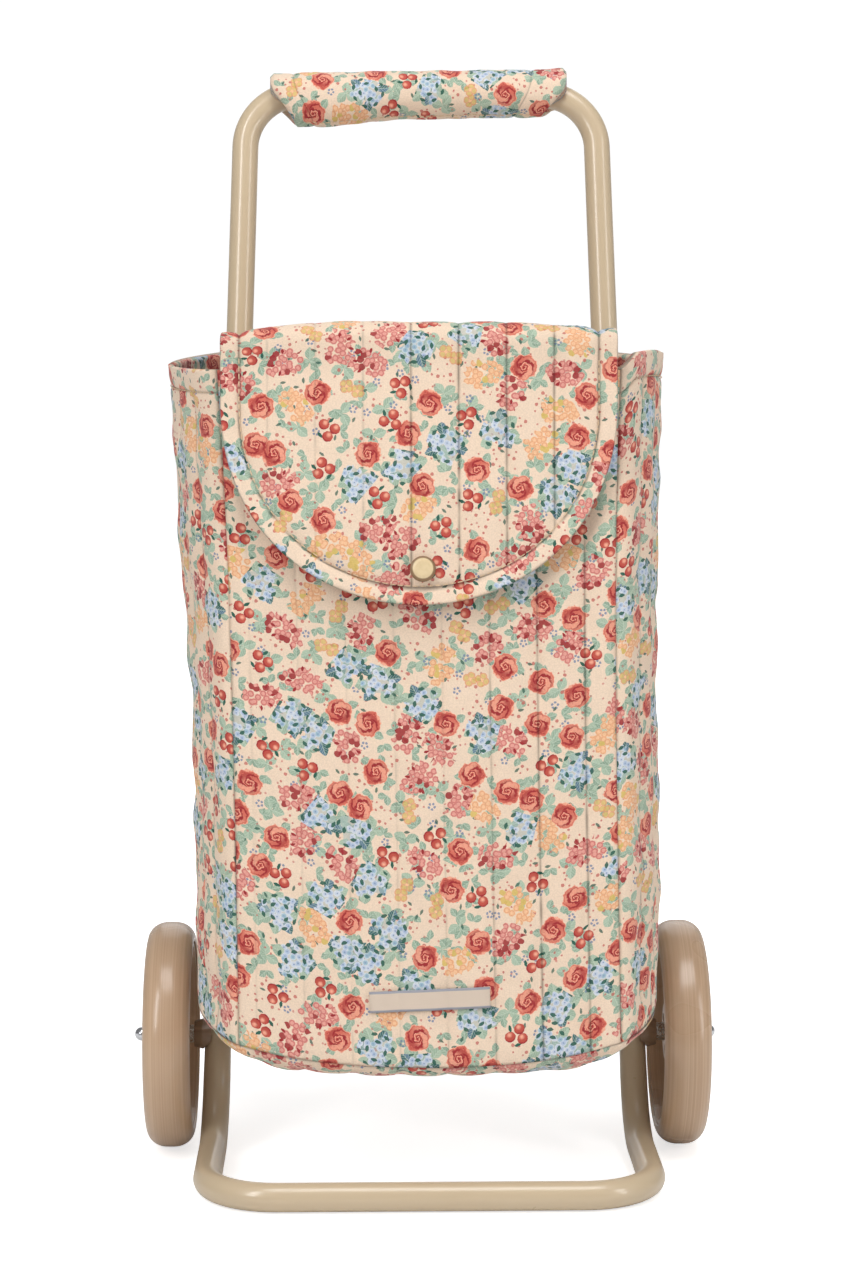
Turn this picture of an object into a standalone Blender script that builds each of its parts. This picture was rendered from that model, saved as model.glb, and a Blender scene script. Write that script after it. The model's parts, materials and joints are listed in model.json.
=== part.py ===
"""A child's two-wheeled shopping trolley: a bent tube frame, two wheels and a quilted bag with a lid.

Units are metres and +Z is up. The bag faces -Y, the handle leans back to +Y and X runs along the axle.
The origin is on the floor, under the middle of the trolley's outline.
"""

from math import atan, cos, pi, radians, sin, sqrt, tan

import bmesh
import bpy
from mathutils import Matrix, Vector

# Wheels and axle
WHEEL_R = 0.0577
WHEEL_STEPS = 48
TYRE_IN_X = 0.1194
TYRE_OUT_X = 0.1432
TYRE_SEAT_R = 0.0480
TYRE_SHOULDER = 0.0090
HUB_IN_X = TYRE_IN_X + 0.0052
HUB_OUT_X = TYRE_OUT_X - 0.0036
HUB_R = 0.0150
HUB_POCKETS = 6
POCKET_R = 0.0029
AXLE_R = 0.0025
AXLE_END_X = 0.1480
BORE_R = 0.00285
NUT_TIP_X = 0.1505

# Frame tube
TUBE_R = 0.0070
TUBE_WALL = 0.0010
TUBE_SIDES = 12
NECK_R = 0.0056
LEAN = radians(12.1)
UPRIGHT_LOW_Z = 0.040
UPRIGHT_LOW_X = 0.1078
UPRIGHT_TAPER = 0.0281
HANDLE_Z = 0.5468
HANDLE_BEND_R = 0.030
FLOOR_BEND_R = 0.035
BASE_LENGTH = 0.124
SOCKET_TOP_Z = 0.0755
SHOULDER_Z = 0.0768
PLUG_END_Z = 0.0430
BEND_STEPS = 8

# Grip cover
GRIP_R = 0.0125
GRIP_WALL = 0.0045
GRIP_HALF = 0.0810

# Bag
PANEL = 0.0045
BAG_LOW_Z = 0.0605
SEAM_FRONT_Z = 0.0690
SEAM_SIDE_RISE = 0.0180
RIM_FRONT_Z = 0.4010
RIM_BACK_Z = 0.4090
FRONT_LOW = -0.1250
FRONT_TOP = -0.0850
BACK_GAP = 0.0096
SEAM_X = 0.0918
SEAM_TOP_X = 0.0970
SIDE_X = 0.1145
SIDE_TOP_X = 0.1255
SIDE_POWER = 0.6
CROWN = 0.0045
BAG_SWAY = -0.0050

# Lid of the bag
FLAP = 0.0050
FLAP_HALF = 0.0948
FLAP_GAP = 0.0034
FLAP_CREST_Z = 0.4250
FLAP_BACK_Z = 0.4170
FLAP_SIDE_END_Z = 0.3870
FLAP_TIP_Z = 0.2900
FLAP_SHORT = 0.0015
FOLD_R = 0.0100

# Press stud, label and straps
STUD_Z = 0.3070
CAP_R = 0.0062
SNAP_R = 0.0050
LABEL_Z = 0.1027
LABEL_SIZE = (0.0575, 0.0100)
LABEL_TILT = radians(2.2)
LABEL_THICK = 0.0006
STRAP_HEIGHTS = {"lower": 0.135, "upper": 0.365}
STRAP_HEIGHT = 0.022
STRAP_THICK = 0.0013

GAP = 0.0003
AXLE_Y = (BASE_LENGTH + TUBE_R - GRIP_R - (HANDLE_Z - WHEEL_R) * tan(LEAN)) / 2

PAINT = ("cream_powder_coat", (0.60, 0.50, 0.37), 0.30, 0.0)
WHEEL_PLASTIC = ("sand_plastic", (0.47, 0.35, 0.24), 0.22, 0.0)
BOSS_PLASTIC = ("brown_plastic", (0.20, 0.14, 0.09), 0.45, 0.0)
CHROME = ("chrome", (0.75, 0.76, 0.78), 0.15, 1.0)
QUILT = ("floral_quilt", (0.88, 0.66, 0.56), 0.85, 0.0)
WEBBING = ("cotton_tape", (0.88, 0.66, 0.56), 0.85, 0.0)
LABEL = ("woven_label", (0.72, 0.62, 0.50), 0.80, 0.0)
STUD = ("cream_enamel", (0.80, 0.64, 0.42), 0.35, 0.0)


# ---------------------------------------------------------------- helpers


def clear_scene():
    for obj in list(bpy.data.objects):
        bpy.data.objects.remove(obj, do_unlink=True)


def new_collection(name):
    collection = bpy.data.collections.new(name)
    bpy.context.scene.collection.children.link(collection)
    return collection


def make_material(spec):
    name, colour, roughness, metallic = spec
    material = bpy.data.materials.get(name)
    if material is None:
        material = bpy.data.materials.new(name)
        material.use_nodes = True
        shader = material.node_tree.nodes["Principled BSDF"]
        shader.inputs["Base Color"].default_value = (*colour, 1.0)
        shader.inputs["Roughness"].default_value = roughness
        shader.inputs["Metallic"].default_value = metallic
    return material


def add_object(name, mesh, spec, matrix=None):
    obj = bpy.data.objects.new(name, mesh)
    PARTS.objects.link(obj)
    mesh.materials.append(make_material(spec))
    if matrix is not None:
        obj.matrix_world = matrix
    mesh.shade_smooth()
    mesh.set_sharp_from_angle(angle=radians(35))
    return obj


def mesh_from_bmesh(name, bm):
    mesh = bpy.data.meshes.new(name)
    bm.to_mesh(mesh)
    bm.free()
    return mesh


def hide_cutter(obj):
    CUTTERS.objects.link(obj)
    obj.hide_render = True
    obj.display_type = "WIRE"
    return obj


def cylinder_cutter(name, radius, length, matrix, steps=16):
    bm = bmesh.new()
    bmesh.ops.create_cone(
        bm, cap_ends=True, segments=steps, radius1=radius, radius2=radius, depth=length
    )
    cutter = bpy.data.objects.new(name, mesh_from_bmesh(name, bm))
    cutter.matrix_world = matrix
    return hide_cutter(cutter)


def boolean(obj, other, operation):
    modifier = obj.modifiers.new(operation.lower(), "BOOLEAN")
    modifier.operation = operation
    modifier.object = other


def along_x(x, y, z):
    """A frame whose Z axis points along the world's X axis."""
    return Matrix.Translation((x, y, z)) @ Matrix.Rotation(pi / 2, 4, "Y")


def along_upright(side, z):
    """A frame on an upright's centre line. Its Z axis runs up the tube and its Y axis points away from the bag."""
    up = (upright_point(side, z + 0.001) - upright_point(side, z)).normalized()
    across = (Vector((1, 0, 0)) - up * up.x).normalized()
    turn = Matrix((across, up.cross(across), up)).transposed()
    return Matrix.Translation(upright_point(side, z)) @ turn.to_4x4()


def turned(name, profile, steps, spec, matrix, turn=0.0):
    """A profile of (radius, height) points that closes anticlockwise, turned about its own Z axis."""
    bm = bmesh.new()
    points = [bm.verts.new((radius, 0.0, height)) for radius, height in reversed(profile)]
    for first, second in zip(points, points[1:] + points[:1]):
        bm.edges.new((first, second))
    mesh = mesh_from_bmesh(name, bm)
    obj = add_object(name, mesh, spec, matrix @ Matrix.Rotation(turn, 4, "Z"))
    screw = obj.modifiers.new("turn", "SCREW")
    screw.steps = steps
    screw.render_steps = steps
    screw.use_merge_vertices = True
    screw.merge_threshold = 0.00001
    return obj


def turned_solid(name, profile, steps, spec, matrix):
    """A solid of revolution whose profile starts and ends on the axis."""
    bm = bmesh.new()
    rings = []
    for radius, height in profile:
        if radius == 0.0:
            rings.append([bm.verts.new((0.0, 0.0, height))])
            continue
        angles = [2 * pi * step / steps for step in range(steps)]
        rings.append([bm.verts.new((radius * cos(a), radius * sin(a), height)) for a in angles])
    for low, high in zip(rings, rings[1:]):
        for step in range(steps):
            after = (step + 1) % steps
            corners = [low[step % len(low)], low[after % len(low)]]
            corners += [high[after % len(high)], high[step % len(high)]]
            bm.faces.new(list(dict.fromkeys(corners)))
    return add_object(name, mesh_from_bmesh(name, bm), spec, matrix)


def rounded_path(corners, radius, steps=BEND_STEPS):
    """A polyline through the corners, with each inner corner rounded to an arc of the radius."""
    corners = [Vector(corner) for corner in corners]
    path = [corners[0]]
    for before, corner, after in zip(corners, corners[1:], corners[2:]):
        arriving = (corner - before).normalized()
        leaving = (after - corner).normalized()
        turn = arriving.angle(leaving)
        start = corner - arriving * radius * tan(turn / 2)
        inward = (leaving - arriving * arriving.dot(leaving)).normalized()
        for step in range(steps + 1):
            angle = turn * step / steps
            path.append(start + arriving * radius * sin(angle) + inward * radius * (1 - cos(angle)))
    return path + [corners[-1]]


def hollow_tube(name, path, radius, wall, spec, scales=None, tilt=0.0):
    """A bent tube with open ends. The radius is to the flats of its sides."""
    data = bpy.data.curves.new(name, "CURVE")
    data.dimensions = "3D"
    data.twist_mode = "Z_UP"
    data.bevel_depth = radius / cos(pi / TUBE_SIDES)
    data.bevel_resolution = (TUBE_SIDES - 4) // 2
    spline = data.splines.new("POLY")
    spline.points.add(len(path) - 1)
    for index, (point, place) in enumerate(zip(spline.points, path)):
        point.co = (*place, 1.0)
        point.tilt = tilt
        point.radius = scales[index] if scales else 1.0
    curve = bpy.data.objects.new(name + "_curve", data)
    PARTS.objects.link(curve)
    graph = bpy.context.evaluated_depsgraph_get()
    mesh = bpy.data.meshes.new_from_object(curve.evaluated_get(graph))
    bpy.data.objects.remove(curve, do_unlink=True)
    mesh.materials.clear()
    obj = add_object(name, mesh, spec)
    shell = obj.modifiers.new("wall", "SOLIDIFY")
    shell.thickness = wall
    shell.offset = -1.0
    shell.use_even_offset = True
    return obj


def grid_shell(name, outer, inner, spec, matrix=None):
    """A closed solid between two grids of points, seen from outside with rows up and columns to the right."""
    bm = bmesh.new()
    sheets = [[[bm.verts.new(point) for point in row] for row in grid] for grid in (outer, inner)]
    for sheet, flip in zip(sheets, (False, True)):
        for low, high in zip(sheet, sheet[1:]):
            for column in range(len(low) - 1):
                corners = [low[column], low[column + 1], high[column + 1], high[column]]
                bm.faces.new(corners[::-1] if flip else corners)
    edges = [edge_loop(sheet) for sheet in sheets]
    count = len(edges[0])
    for index in range(count):
        after = (index + 1) % count
        bm.faces.new((edges[0][after], edges[0][index], edges[1][index], edges[1][after]))
    return add_object(name, mesh_from_bmesh(name, bm), spec, matrix)


def edge_loop(sheet):
    """The border of a grid, in order, starting along its first row."""
    right = [row[-1] for row in sheet[1:-1]]
    left = [row[0] for row in sheet[1:-1]]
    return sheet[0] + right + sheet[-1][::-1] + left[::-1]


def spread(low, high, count):
    return [low + (high - low) * index / count for index in range(count + 1)]


# ---------------------------------------------------------------- lines that several pieces share


def upright_x(z):
    return UPRIGHT_LOW_X - (z - UPRIGHT_LOW_Z) * UPRIGHT_TAPER


def upright_y(z):
    return AXLE_Y + (z - WHEEL_R) * tan(LEAN)


def upright_point(side, z):
    return Vector((side * upright_x(z), upright_y(z), z))


def bag_share(z):
    """0 at the bag's lowest point and 1 at its rim."""
    return (z - BAG_LOW_Z) / (RIM_FRONT_Z - BAG_LOW_Z)


def bag_front_y(z):
    return AXLE_Y + FRONT_LOW + (FRONT_TOP - FRONT_LOW) * min(bag_share(z), 1.0)


def bag_back_y(z):
    return upright_y(z) - BACK_GAP / cos(LEAN)


def bag_crown(x, z):
    """How far the front panel swells in front of its side seams. The rim is straight."""
    near_rim = min(1.0, max(0.0, (RIM_FRONT_Z - z) / 0.08))
    return CROWN * near_rim * max(0.0, 1 - (x / SEAM_X) ** 2)


def bag_sway(z):
    """The bag hangs a little to one side at the top."""
    return BAG_SWAY * min(bag_share(z), 1.0)


def seam_x(z):
    return SEAM_X + (SEAM_TOP_X - SEAM_X) * max(0.0, bag_share(z)) ** 4


def side_x(z):
    return SIDE_X + (SIDE_TOP_X - SIDE_X) * max(0.0, bag_share(z)) ** 1.6


def seam_z(x):
    """Height of the seam around the bag's bottom, which rises towards the sides."""
    return SEAM_FRONT_Z + SEAM_SIDE_RISE * (abs(x) / SIDE_X) ** 2.5


def wall_z(nominal_x, back_share, up):
    low = seam_z(nominal_x)
    high = RIM_FRONT_Z + (RIM_BACK_Z - RIM_FRONT_Z) * back_share
    return low + (high - low) * up


def front_point(across, up, depth):
    """across runs from -1 to 1, up from 0 to 1, and depth is the distance in from the outer face."""
    z = wall_z(SEAM_X * across, 0.0, up)
    x = (seam_x(z) - depth) * across
    y = bag_front_y(z) - bag_crown(x, z) + depth
    return (x + bag_sway(z), y, z)


def back_point(across, up, depth):
    z = wall_z(SEAM_X * across, 1.0, up)
    x = -(seam_x(z) - depth) * across
    return (x + bag_sway(z), bag_back_y(z) - depth, z)


def side_point(side, back_share, up, depth):
    """back_share runs from 0 at the front seam to 1 at the back seam."""
    swell = sin(pi * back_share) ** SIDE_POWER
    z = wall_z(SEAM_X + (SIDE_X - SEAM_X) * swell, back_share, up)
    x = seam_x(z) - depth + (side_x(z) - seam_x(z)) * swell
    front = bag_front_y(z) + depth
    back = bag_back_y(z) - depth
    return (side * x + bag_sway(z), front + (back - front) * back_share, z)


def flap_half(z):
    """Half the width of the lid's front at a height: straight sides, then a round lower edge."""
    if z >= FLAP_SIDE_END_Z:
        return FLAP_HALF
    drop = (FLAP_SIDE_END_Z - z) / (FLAP_SIDE_END_Z - FLAP_TIP_Z)
    return FLAP_HALF * sqrt(max(0.0, 1 - drop**2.2))


def flap_point(across, z, depth):
    x = flap_half(z) * across
    y = bag_front_y(z) - bag_crown(x, z) - FLAP_GAP - FLAP + depth
    return (x + bag_sway(z), y, z)


FRONT_LEAN = atan((FRONT_TOP - FRONT_LOW) / (RIM_FRONT_Z - BAG_LOW_Z))
FOLD_Y = bag_front_y(RIM_FRONT_Z) - FLAP_GAP - FLAP + FOLD_R
FOLD_Z = FLAP_CREST_Z - FOLD_R
HINGE_Y = bag_back_y(RIM_BACK_Z) - 0.0045
HINGE_Z = RIM_BACK_Z + 0.0020


# ---------------------------------------------------------------- frame


def handle_path():
    neck = [upright_point(-1, PLUG_END_Z), upright_point(-1, SOCKET_TOP_Z + GAP)]
    bend = [upright_point(-1, SHOULDER_Z), upright_point(-1, HANDLE_Z)]
    bend += [upright_point(1, HANDLE_Z), upright_point(1, SHOULDER_Z)]
    other_neck = [Vector((-point.x, point.y, point.z)) for point in reversed(neck)]
    return neck + rounded_path(bend, HANDLE_BEND_R) + other_neck


def make_handle_tube():
    path = handle_path()
    neck = NECK_R / TUBE_R
    scales = [neck, neck] + [1.0] * (len(path) - 4) + [neck, neck]
    tube = hollow_tube("handle_tube", path, TUBE_R, TUBE_WALL, PAINT, scales)
    boolean(tube, AXLE_HOLE, "DIFFERENCE")


def make_base_tube():
    corners = [upright_point(-1, SOCKET_TOP_Z), upright_point(-1, TUBE_R)]
    front_x = upright_x(TUBE_R)
    front_y = AXLE_Y - BASE_LENGTH
    corners += [Vector((-front_x, front_y, TUBE_R)), Vector((front_x, front_y, TUBE_R))]
    corners += [upright_point(1, TUBE_R), upright_point(1, SOCKET_TOP_Z)]
    path = rounded_path(corners, FLOOR_BEND_R)
    half_side = pi / TUBE_SIDES
    tube = hollow_tube("base_tube", path, TUBE_R, TUBE_WALL, PAINT, tilt=half_side)
    boolean(tube, AXLE_HOLE, "DIFFERENCE")


def make_grip_cover():
    path = [point for point in handle_path() if abs(point.x) < GRIP_HALF and point.z > FLAP_CREST_Z]
    hollow_tube("grip_cover", path, GRIP_R, GRIP_WALL, QUILT)


def make_axle():
    profile = [(0.0, -AXLE_END_X), (AXLE_R, -AXLE_END_X), (AXLE_R, AXLE_END_X), (0.0, AXLE_END_X)]
    turned_solid("axle_rod", profile, 16, CHROME, along_x(0, AXLE_Y, WHEEL_R))


def make_axle_boss(name, side):
    """A plastic spacer that hugs the tube and keeps the wheel clear of it."""
    inner = upright_x(WHEEL_R) + 0.0035
    outer = TYRE_IN_X + 0.0002
    flare = inner + 0.0045
    profile = [(BORE_R, inner), (0.0078, inner), (0.0078, flare), (0.0066, outer), (BORE_R, outer)]
    boss = turned(name, profile, 24, BOSS_PLASTIC, side_frame(side))
    clear = TUBE_R / cos(pi / TUBE_SIDES) + GAP
    place = along_upright(side, WHEEL_R)
    boolean(boss, cylinder_cutter(name + "_saddle", clear, 0.04, place, 24), "DIFFERENCE")


def side_frame(side):
    """A frame on the axle's centre whose Z axis points out to one side."""
    return Matrix.Translation((0, AXLE_Y, WHEEL_R)) @ Matrix.Rotation(side * pi / 2, 4, "Y")


def make_sleeve(name, side):
    start = TYRE_IN_X + 0.0002 + GAP
    end = HUB_IN_X - GAP
    profile = [(BORE_R, start), (0.0046, start), (0.0046, end), (BORE_R, end)]
    turned(name, profile, 24, CHROME, side_frame(side))


def make_washer(name, side):
    start = HUB_OUT_X + GAP
    end = start + 0.0010
    profile = [(BORE_R, start), (0.0060, start), (0.0060, end), (BORE_R, end)]
    turned(name, profile, 24, CHROME, side_frame(side))


def make_cap_nut(name, side):
    """A domed nut: a hexagon with a rounded cap, screwed on the axle's end."""
    start = HUB_OUT_X + 0.0010 + 2 * GAP
    hexagon = start + 0.0032
    dome_r = 0.0036
    dome_start = NUT_TIP_X - dome_r
    profile = [(0.0, start), (dome_r, start), (dome_r, dome_start)]
    angles = [radians(18 * step) for step in range(1, 5)]
    profile += [(dome_r * cos(a), dome_start + dome_r * sin(a)) for a in angles]
    profile += [(0.0, NUT_TIP_X)]
    nut = turned_solid(name, profile, 24, CHROME, side_frame(side))
    bm = bmesh.new()
    length = hexagon - start
    bmesh.ops.create_cone(bm, cap_ends=True, segments=6, radius1=0.0046, radius2=0.0046, depth=length)
    hexagon_body = bpy.data.objects.new(name + "_hexagon", mesh_from_bmesh(name + "_hexagon", bm))
    hexagon_body.matrix_world = side_frame(side) @ Matrix.Translation((0, 0, start + length / 2))
    boolean(nut, hide_cutter(hexagon_body), "UNION")
    depth = AXLE_END_X + GAP - start + 0.002
    middle = side_frame(side) @ Matrix.Translation((0, 0, AXLE_END_X + GAP - depth / 2))
    boolean(nut, cylinder_cutter(name + "_thread", BORE_R, depth, middle), "DIFFERENCE")


# ---------------------------------------------------------------- wheels


def make_tyre(name, side):
    """A moulded tread ring with round shoulders. Its radius is to the flats of its sides."""
    tread_r = WHEEL_R / cos(pi / WHEEL_STEPS)
    corner = TYRE_SHOULDER
    angles = [radians(30 * step) for step in range(4)]
    profile = [(TYRE_SEAT_R, TYRE_OUT_X - 0.0010), (TYRE_SEAT_R + 0.0010, TYRE_OUT_X)]
    outer = [(tread_r - corner * (1 - sin(a)), TYRE_OUT_X - corner * 0.75 * (1 - cos(a))) for a in angles]
    inner = [(radius, TYRE_IN_X + TYRE_OUT_X - x) for radius, x in reversed(outer)]
    outer_edge = [(radius, x) for radius, x in outer if radius > TYRE_SEAT_R + 0.0010]
    inner_edge = [(radius, x) for radius, x in inner if radius > TYRE_SEAT_R + 0.0010]
    profile = profile + outer_edge + inner_edge
    profile += [(TYRE_SEAT_R + 0.0010, TYRE_IN_X), (TYRE_SEAT_R, TYRE_IN_X + 0.0010)]
    turned(name, profile[::-1], WHEEL_STEPS, WHEEL_PLASTIC, side_frame(side), pi / WHEEL_STEPS)


def make_wheel(name, side):
    """A dished disc with a rim under the tyre and a hub with lightening pockets."""
    rim_r = TYRE_SEAT_R - GAP
    web_in = TYRE_IN_X + 0.0130
    web_out = TYRE_IN_X + 0.0160
    rim_in = TYRE_IN_X + 0.0012
    rim_out = TYRE_OUT_X - 0.0012
    profile = [(BORE_R, HUB_IN_X), (HUB_R, HUB_IN_X), (HUB_R, web_in), (rim_r - 0.0042, web_in)]
    profile += [(rim_r - 0.0022, rim_in), (rim_r, rim_in), (rim_r, rim_out), (rim_r - 0.0022, rim_out)]
    profile += [(rim_r - 0.0042, web_out), (HUB_R, web_out), (HUB_R - 0.001, HUB_OUT_X), (BORE_R, HUB_OUT_X)]
    wheel = turned(name, profile, WHEEL_STEPS, WHEEL_PLASTIC, side_frame(side), pi / WHEEL_STEPS)
    depth = 0.0070
    pockets = bmesh.new()
    for index in range(HUB_POCKETS):
        angle = 2 * pi * index / HUB_POCKETS
        place = Matrix.Translation((0.0098 * cos(angle), 0.0098 * sin(angle), HUB_IN_X))
        bmesh.ops.create_cone(
            pockets,
            cap_ends=True,
            segments=10,
            radius1=POCKET_R,
            radius2=POCKET_R,
            depth=2 * depth,
            matrix=place,
        )
    cutter = bpy.data.objects.new(name + "_pockets", mesh_from_bmesh(name + "_pockets", pockets))
    cutter.matrix_world = side_frame(side)
    boolean(wheel, hide_cutter(cutter), "DIFFERENCE")


# ---------------------------------------------------------------- bag


def wall_grids(point, columns, rows):
    return [[[point(column, row, depth) for column in columns] for row in rows] for depth in (0.0, PANEL)]


def make_bag_walls():
    edge = 0.0015
    rows = spread(0.0, 1.0, 8)
    across = spread(-1 + edge, 1 - edge, 6)
    shares = [(1 - cos(pi * share)) / 2 for share in spread(0.02, 0.98, 10)]
    front = grid_shell("bag_front", *wall_grids(front_point, across, rows), QUILT)
    boolean(front, STUD_HOLE, "DIFFERENCE")
    grid_shell("bag_back", *wall_grids(back_point, across, rows), QUILT)
    for name, side in (("bag_side_left", -1), ("bag_side_right", 1)):

        def point(share, up, depth, side=side):
            return side_point(side, share, up, depth)

        columns = shares if side > 0 else shares[::-1]
        grid_shell(name, *wall_grids(point, columns, rows), QUILT)


def bottom_ring(depth):
    """The seam around the bag's bottom, from the front seam on the left and round by the right."""
    shares = [(1 - cos(pi * share)) / 2 for share in spread(0.02, 0.98, 10)]
    ring = [front_point(across, 0.0, depth) for across in spread(-1, 1, 6)]
    ring += [side_point(1, share, 0.0, depth) for share in shares]
    ring += [back_point(across, 0.0, depth) for across in spread(-1, 1, 6)]
    ring += [side_point(-1, share, 0.0, depth) for share in reversed(shares)]
    return ring


def make_bag_bottom():
    """A shallow quilted tray whose edge curls up to the seam."""
    bm = bmesh.new()
    discs = []
    levels = [0.3, 0.6, 0.8, 0.92, 1.0]
    for depth in (0.0, PANEL):
        ring = bottom_ring(depth)
        middle_y = sum(point[1] for point in ring) / len(ring)
        low = BAG_LOW_Z + depth
        loops = [[bm.verts.new((0.0, middle_y, low))]]
        for level in levels:
            rise = level**5
            loop = []
            for x, y, z in ring:
                height = low + (z - GAP - low) * rise
                loop.append(bm.verts.new((x * level, middle_y + (y - middle_y) * level, height)))
            loops.append(loop)
        discs.append(loops)
    count = len(discs[0][-1])
    for loops, flip in zip(discs, (True, False)):
        for small, large in zip(loops, loops[1:]):
            for index in range(count):
                after = (index + 1) % count
                corners = [small[index % len(small)], large[index], large[after], small[after % len(small)]]
                corners = list(dict.fromkeys(corners))
                bm.faces.new(corners[::-1] if flip else corners)
    outer, inner = discs[0][-1], discs[1][-1]
    for index in range(count):
        after = (index + 1) % count
        bm.faces.new((outer[index], outer[after], inner[after], inner[index]))
    add_object("bag_bottom", mesh_from_bmesh("bag_bottom", bm), QUILT)


def make_flap_front():
    heights = [FOLD_Z - 0.0010, 0.400] + [
        FLAP_SIDE_END_Z - (FLAP_SIDE_END_Z - FLAP_TIP_Z) * sin(radians(angle)) ** (2 / 2.2)
        for angle in spread(0, 80, 8)
    ]
    rows = heights[::-1]
    grids = []
    for depth in (0.0, FLAP):
        grids.append([[flap_point(across, z, depth) for across in spread(-1, 1, 8)] for z in rows])
    flap = grid_shell("flap_front", *grids, QUILT)
    boolean(flap, STUD_HOLE, "DIFFERENCE")


def make_flap_top():
    back_y = HINGE_Y - FLAP_SHORT
    grids = []
    for depth in (0.0, FLAP):
        grid = []
        for share in spread(0, 1, 5):
            y = FOLD_Y + (back_y - FOLD_Y) * share
            z = FLAP_CREST_Z + (FLAP_BACK_Z - FLAP_CREST_Z) * share - depth
            row_x = [FLAP_HALF * across + bag_sway(RIM_FRONT_Z) for across in spread(-1, 1, 2)]
            grid.append([(x, y, z) for x in row_x])
        grids.append(grid)
    grid_shell("flap_top", *grids, QUILT)


def make_label():
    """A blank woven label sewn low on the front panel."""
    grids = []
    width, height = LABEL_SIZE
    for depth in (0.0, LABEL_THICK):
        grid = []
        for v in spread(-height / 2, height / 2, 1):
            row = []
            for u in spread(-width / 2, width / 2, 6):
                x = u * cos(LABEL_TILT) - v * sin(LABEL_TILT)
                z = LABEL_Z + u * sin(LABEL_TILT) + v * cos(LABEL_TILT)
                y = bag_front_y(z) - bag_crown(x, z) - 2 * GAP - LABEL_THICK + depth
                row.append((x + bag_sway(z), y, z))
            grid.append(row)
        grids.append(grid)
    grid_shell("label", *grids, LABEL)


# ---------------------------------------------------------------- press stud and straps


def stud_frame(layers):
    """A frame on the press stud's line, that many metres of cloth in from the lid's face. Z points inwards."""
    lean = Matrix.Rotation(-pi / 2 - FRONT_LEAN, 4, "X")
    depth = Matrix.Translation((0, 0, layers * cos(FRONT_LEAN)))
    return Matrix.Translation(flap_point(0.0, STUD_Z, 0.0)) @ lean @ depth


def disc_with_hole(name, radius, hole, thick, spec, frame):
    profile = [(hole, 0.0), (radius - 0.0004, 0.0), (radius, 0.0004), (radius, thick), (hole, thick)]
    turned(name, profile, 20, spec, frame)


def make_press_stud():
    """Cap and socket on the lid, stud and backing ring on the bag, each pair on a post through the cloth."""
    face = 0.0016
    bag_face = FLAP + FLAP_GAP
    clear = 2 * GAP
    post = FLAP + 0.0008
    profile = [(0.0, -face), (CAP_R * 0.6, -face * 0.95), (CAP_R * 0.92, -face * 0.6), (CAP_R, 0.0)]
    profile += [(0.0013, 0.0), (0.0013, post), (0.0, post)]
    turned_solid("snap_cap", profile, 20, STUD, stud_frame(-GAP))
    disc_with_hole("snap_socket", SNAP_R, 0.0026, 0.0010, CHROME, stud_frame(FLAP + clear))
    stud = [(0.0, -0.0018), (0.0014, -0.0018), (0.0016, -0.0011), (SNAP_R, -0.0010), (SNAP_R, 0.0)]
    stud += [(0.0013, 0.0), (0.0013, PANEL + 0.0020), (0.0, PANEL + 0.0020)]
    turned_solid("snap_stud", stud, 20, CHROME, stud_frame(bag_face - clear))
    disc_with_hole("snap_backing", SNAP_R, 0.0017, 0.0010, CHROME, stud_frame(bag_face + PANEL + clear))


def make_strap(name, side, z):
    """A tape loop round an upright, with its tail pressed flat on the bag's back by a stud."""
    ring_in = TUBE_R / cos(pi / TUBE_SIDES) + GAP
    ring_out = ring_in + STRAP_THICK
    half = STRAP_HEIGHT / 2
    frame = along_upright(side, z)
    profile = [(ring_in, -half), (ring_out, -half), (ring_out, half), (ring_in, half)]
    strap = turned(name, profile, 20, WEBBING, frame)
    bm = bmesh.new()
    reach = 0.028
    tail = STRAP_THICK * 0.9
    offset = -(ring_in + tail / 2 + 0.0001)
    place = Matrix.Translation((-side * reach / 2, offset, 0)) @ Matrix.Diagonal((reach, tail, STRAP_HEIGHT, 1))
    bmesh.ops.create_cube(bm, size=1.0, matrix=place)
    body = bpy.data.objects.new(name + "_tail", mesh_from_bmesh(name + "_tail", bm))
    body.matrix_world = frame
    boolean(strap, hide_cutter(body), "UNION")
    button_face = offset + tail / 2 + GAP
    spot = Matrix.Translation((-side * 0.020, button_face, 0)) @ Matrix.Rotation(-pi / 2, 4, "X")
    dome = [(0.0, 0.0), (0.0050, 0.0), (0.0046, 0.0009), (0.0025, 0.0013), (0.0, 0.0014)]
    turned_solid(name + "_stud", dome, 20, STUD, frame @ spot)


clear_scene()
PARTS = new_collection("shopping_trolley")
CUTTERS = new_collection("cutters")
AXLE_HOLE = cylinder_cutter("axle_hole", BORE_R, 0.30, along_x(0, AXLE_Y, WHEEL_R))
STUD_HOLE = cylinder_cutter("stud_hole", 0.0018, 0.06, stud_frame(FLAP), 12)

make_handle_tube()
make_base_tube()
make_grip_cover()
make_axle()
for side_name, sign in (("left", -1), ("right", 1)):
    make_axle_boss("axle_boss_" + side_name, sign)
    make_sleeve("axle_sleeve_" + side_name, sign)
    make_wheel("wheel_" + side_name, sign)
    make_tyre("tyre_" + side_name, sign)
    make_washer("washer_" + side_name, sign)
    make_cap_nut("cap_nut_" + side_name, sign)
    for level_name, level_z in STRAP_HEIGHTS.items():
        make_strap("strap_" + level_name + "_" + side_name, sign, level_z)
make_bag_walls()
make_bag_bottom()
make_flap_top()
make_flap_front()
make_press_stud()
make_label()
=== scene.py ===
"""A child's shopping trolley: quilted floral bag, bent tube frame and glossy wheels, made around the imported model."""

import json
from math import cos, pi, radians, sin, tan

import bpy
import numpy as np
from mathutils import Matrix, Vector


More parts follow.
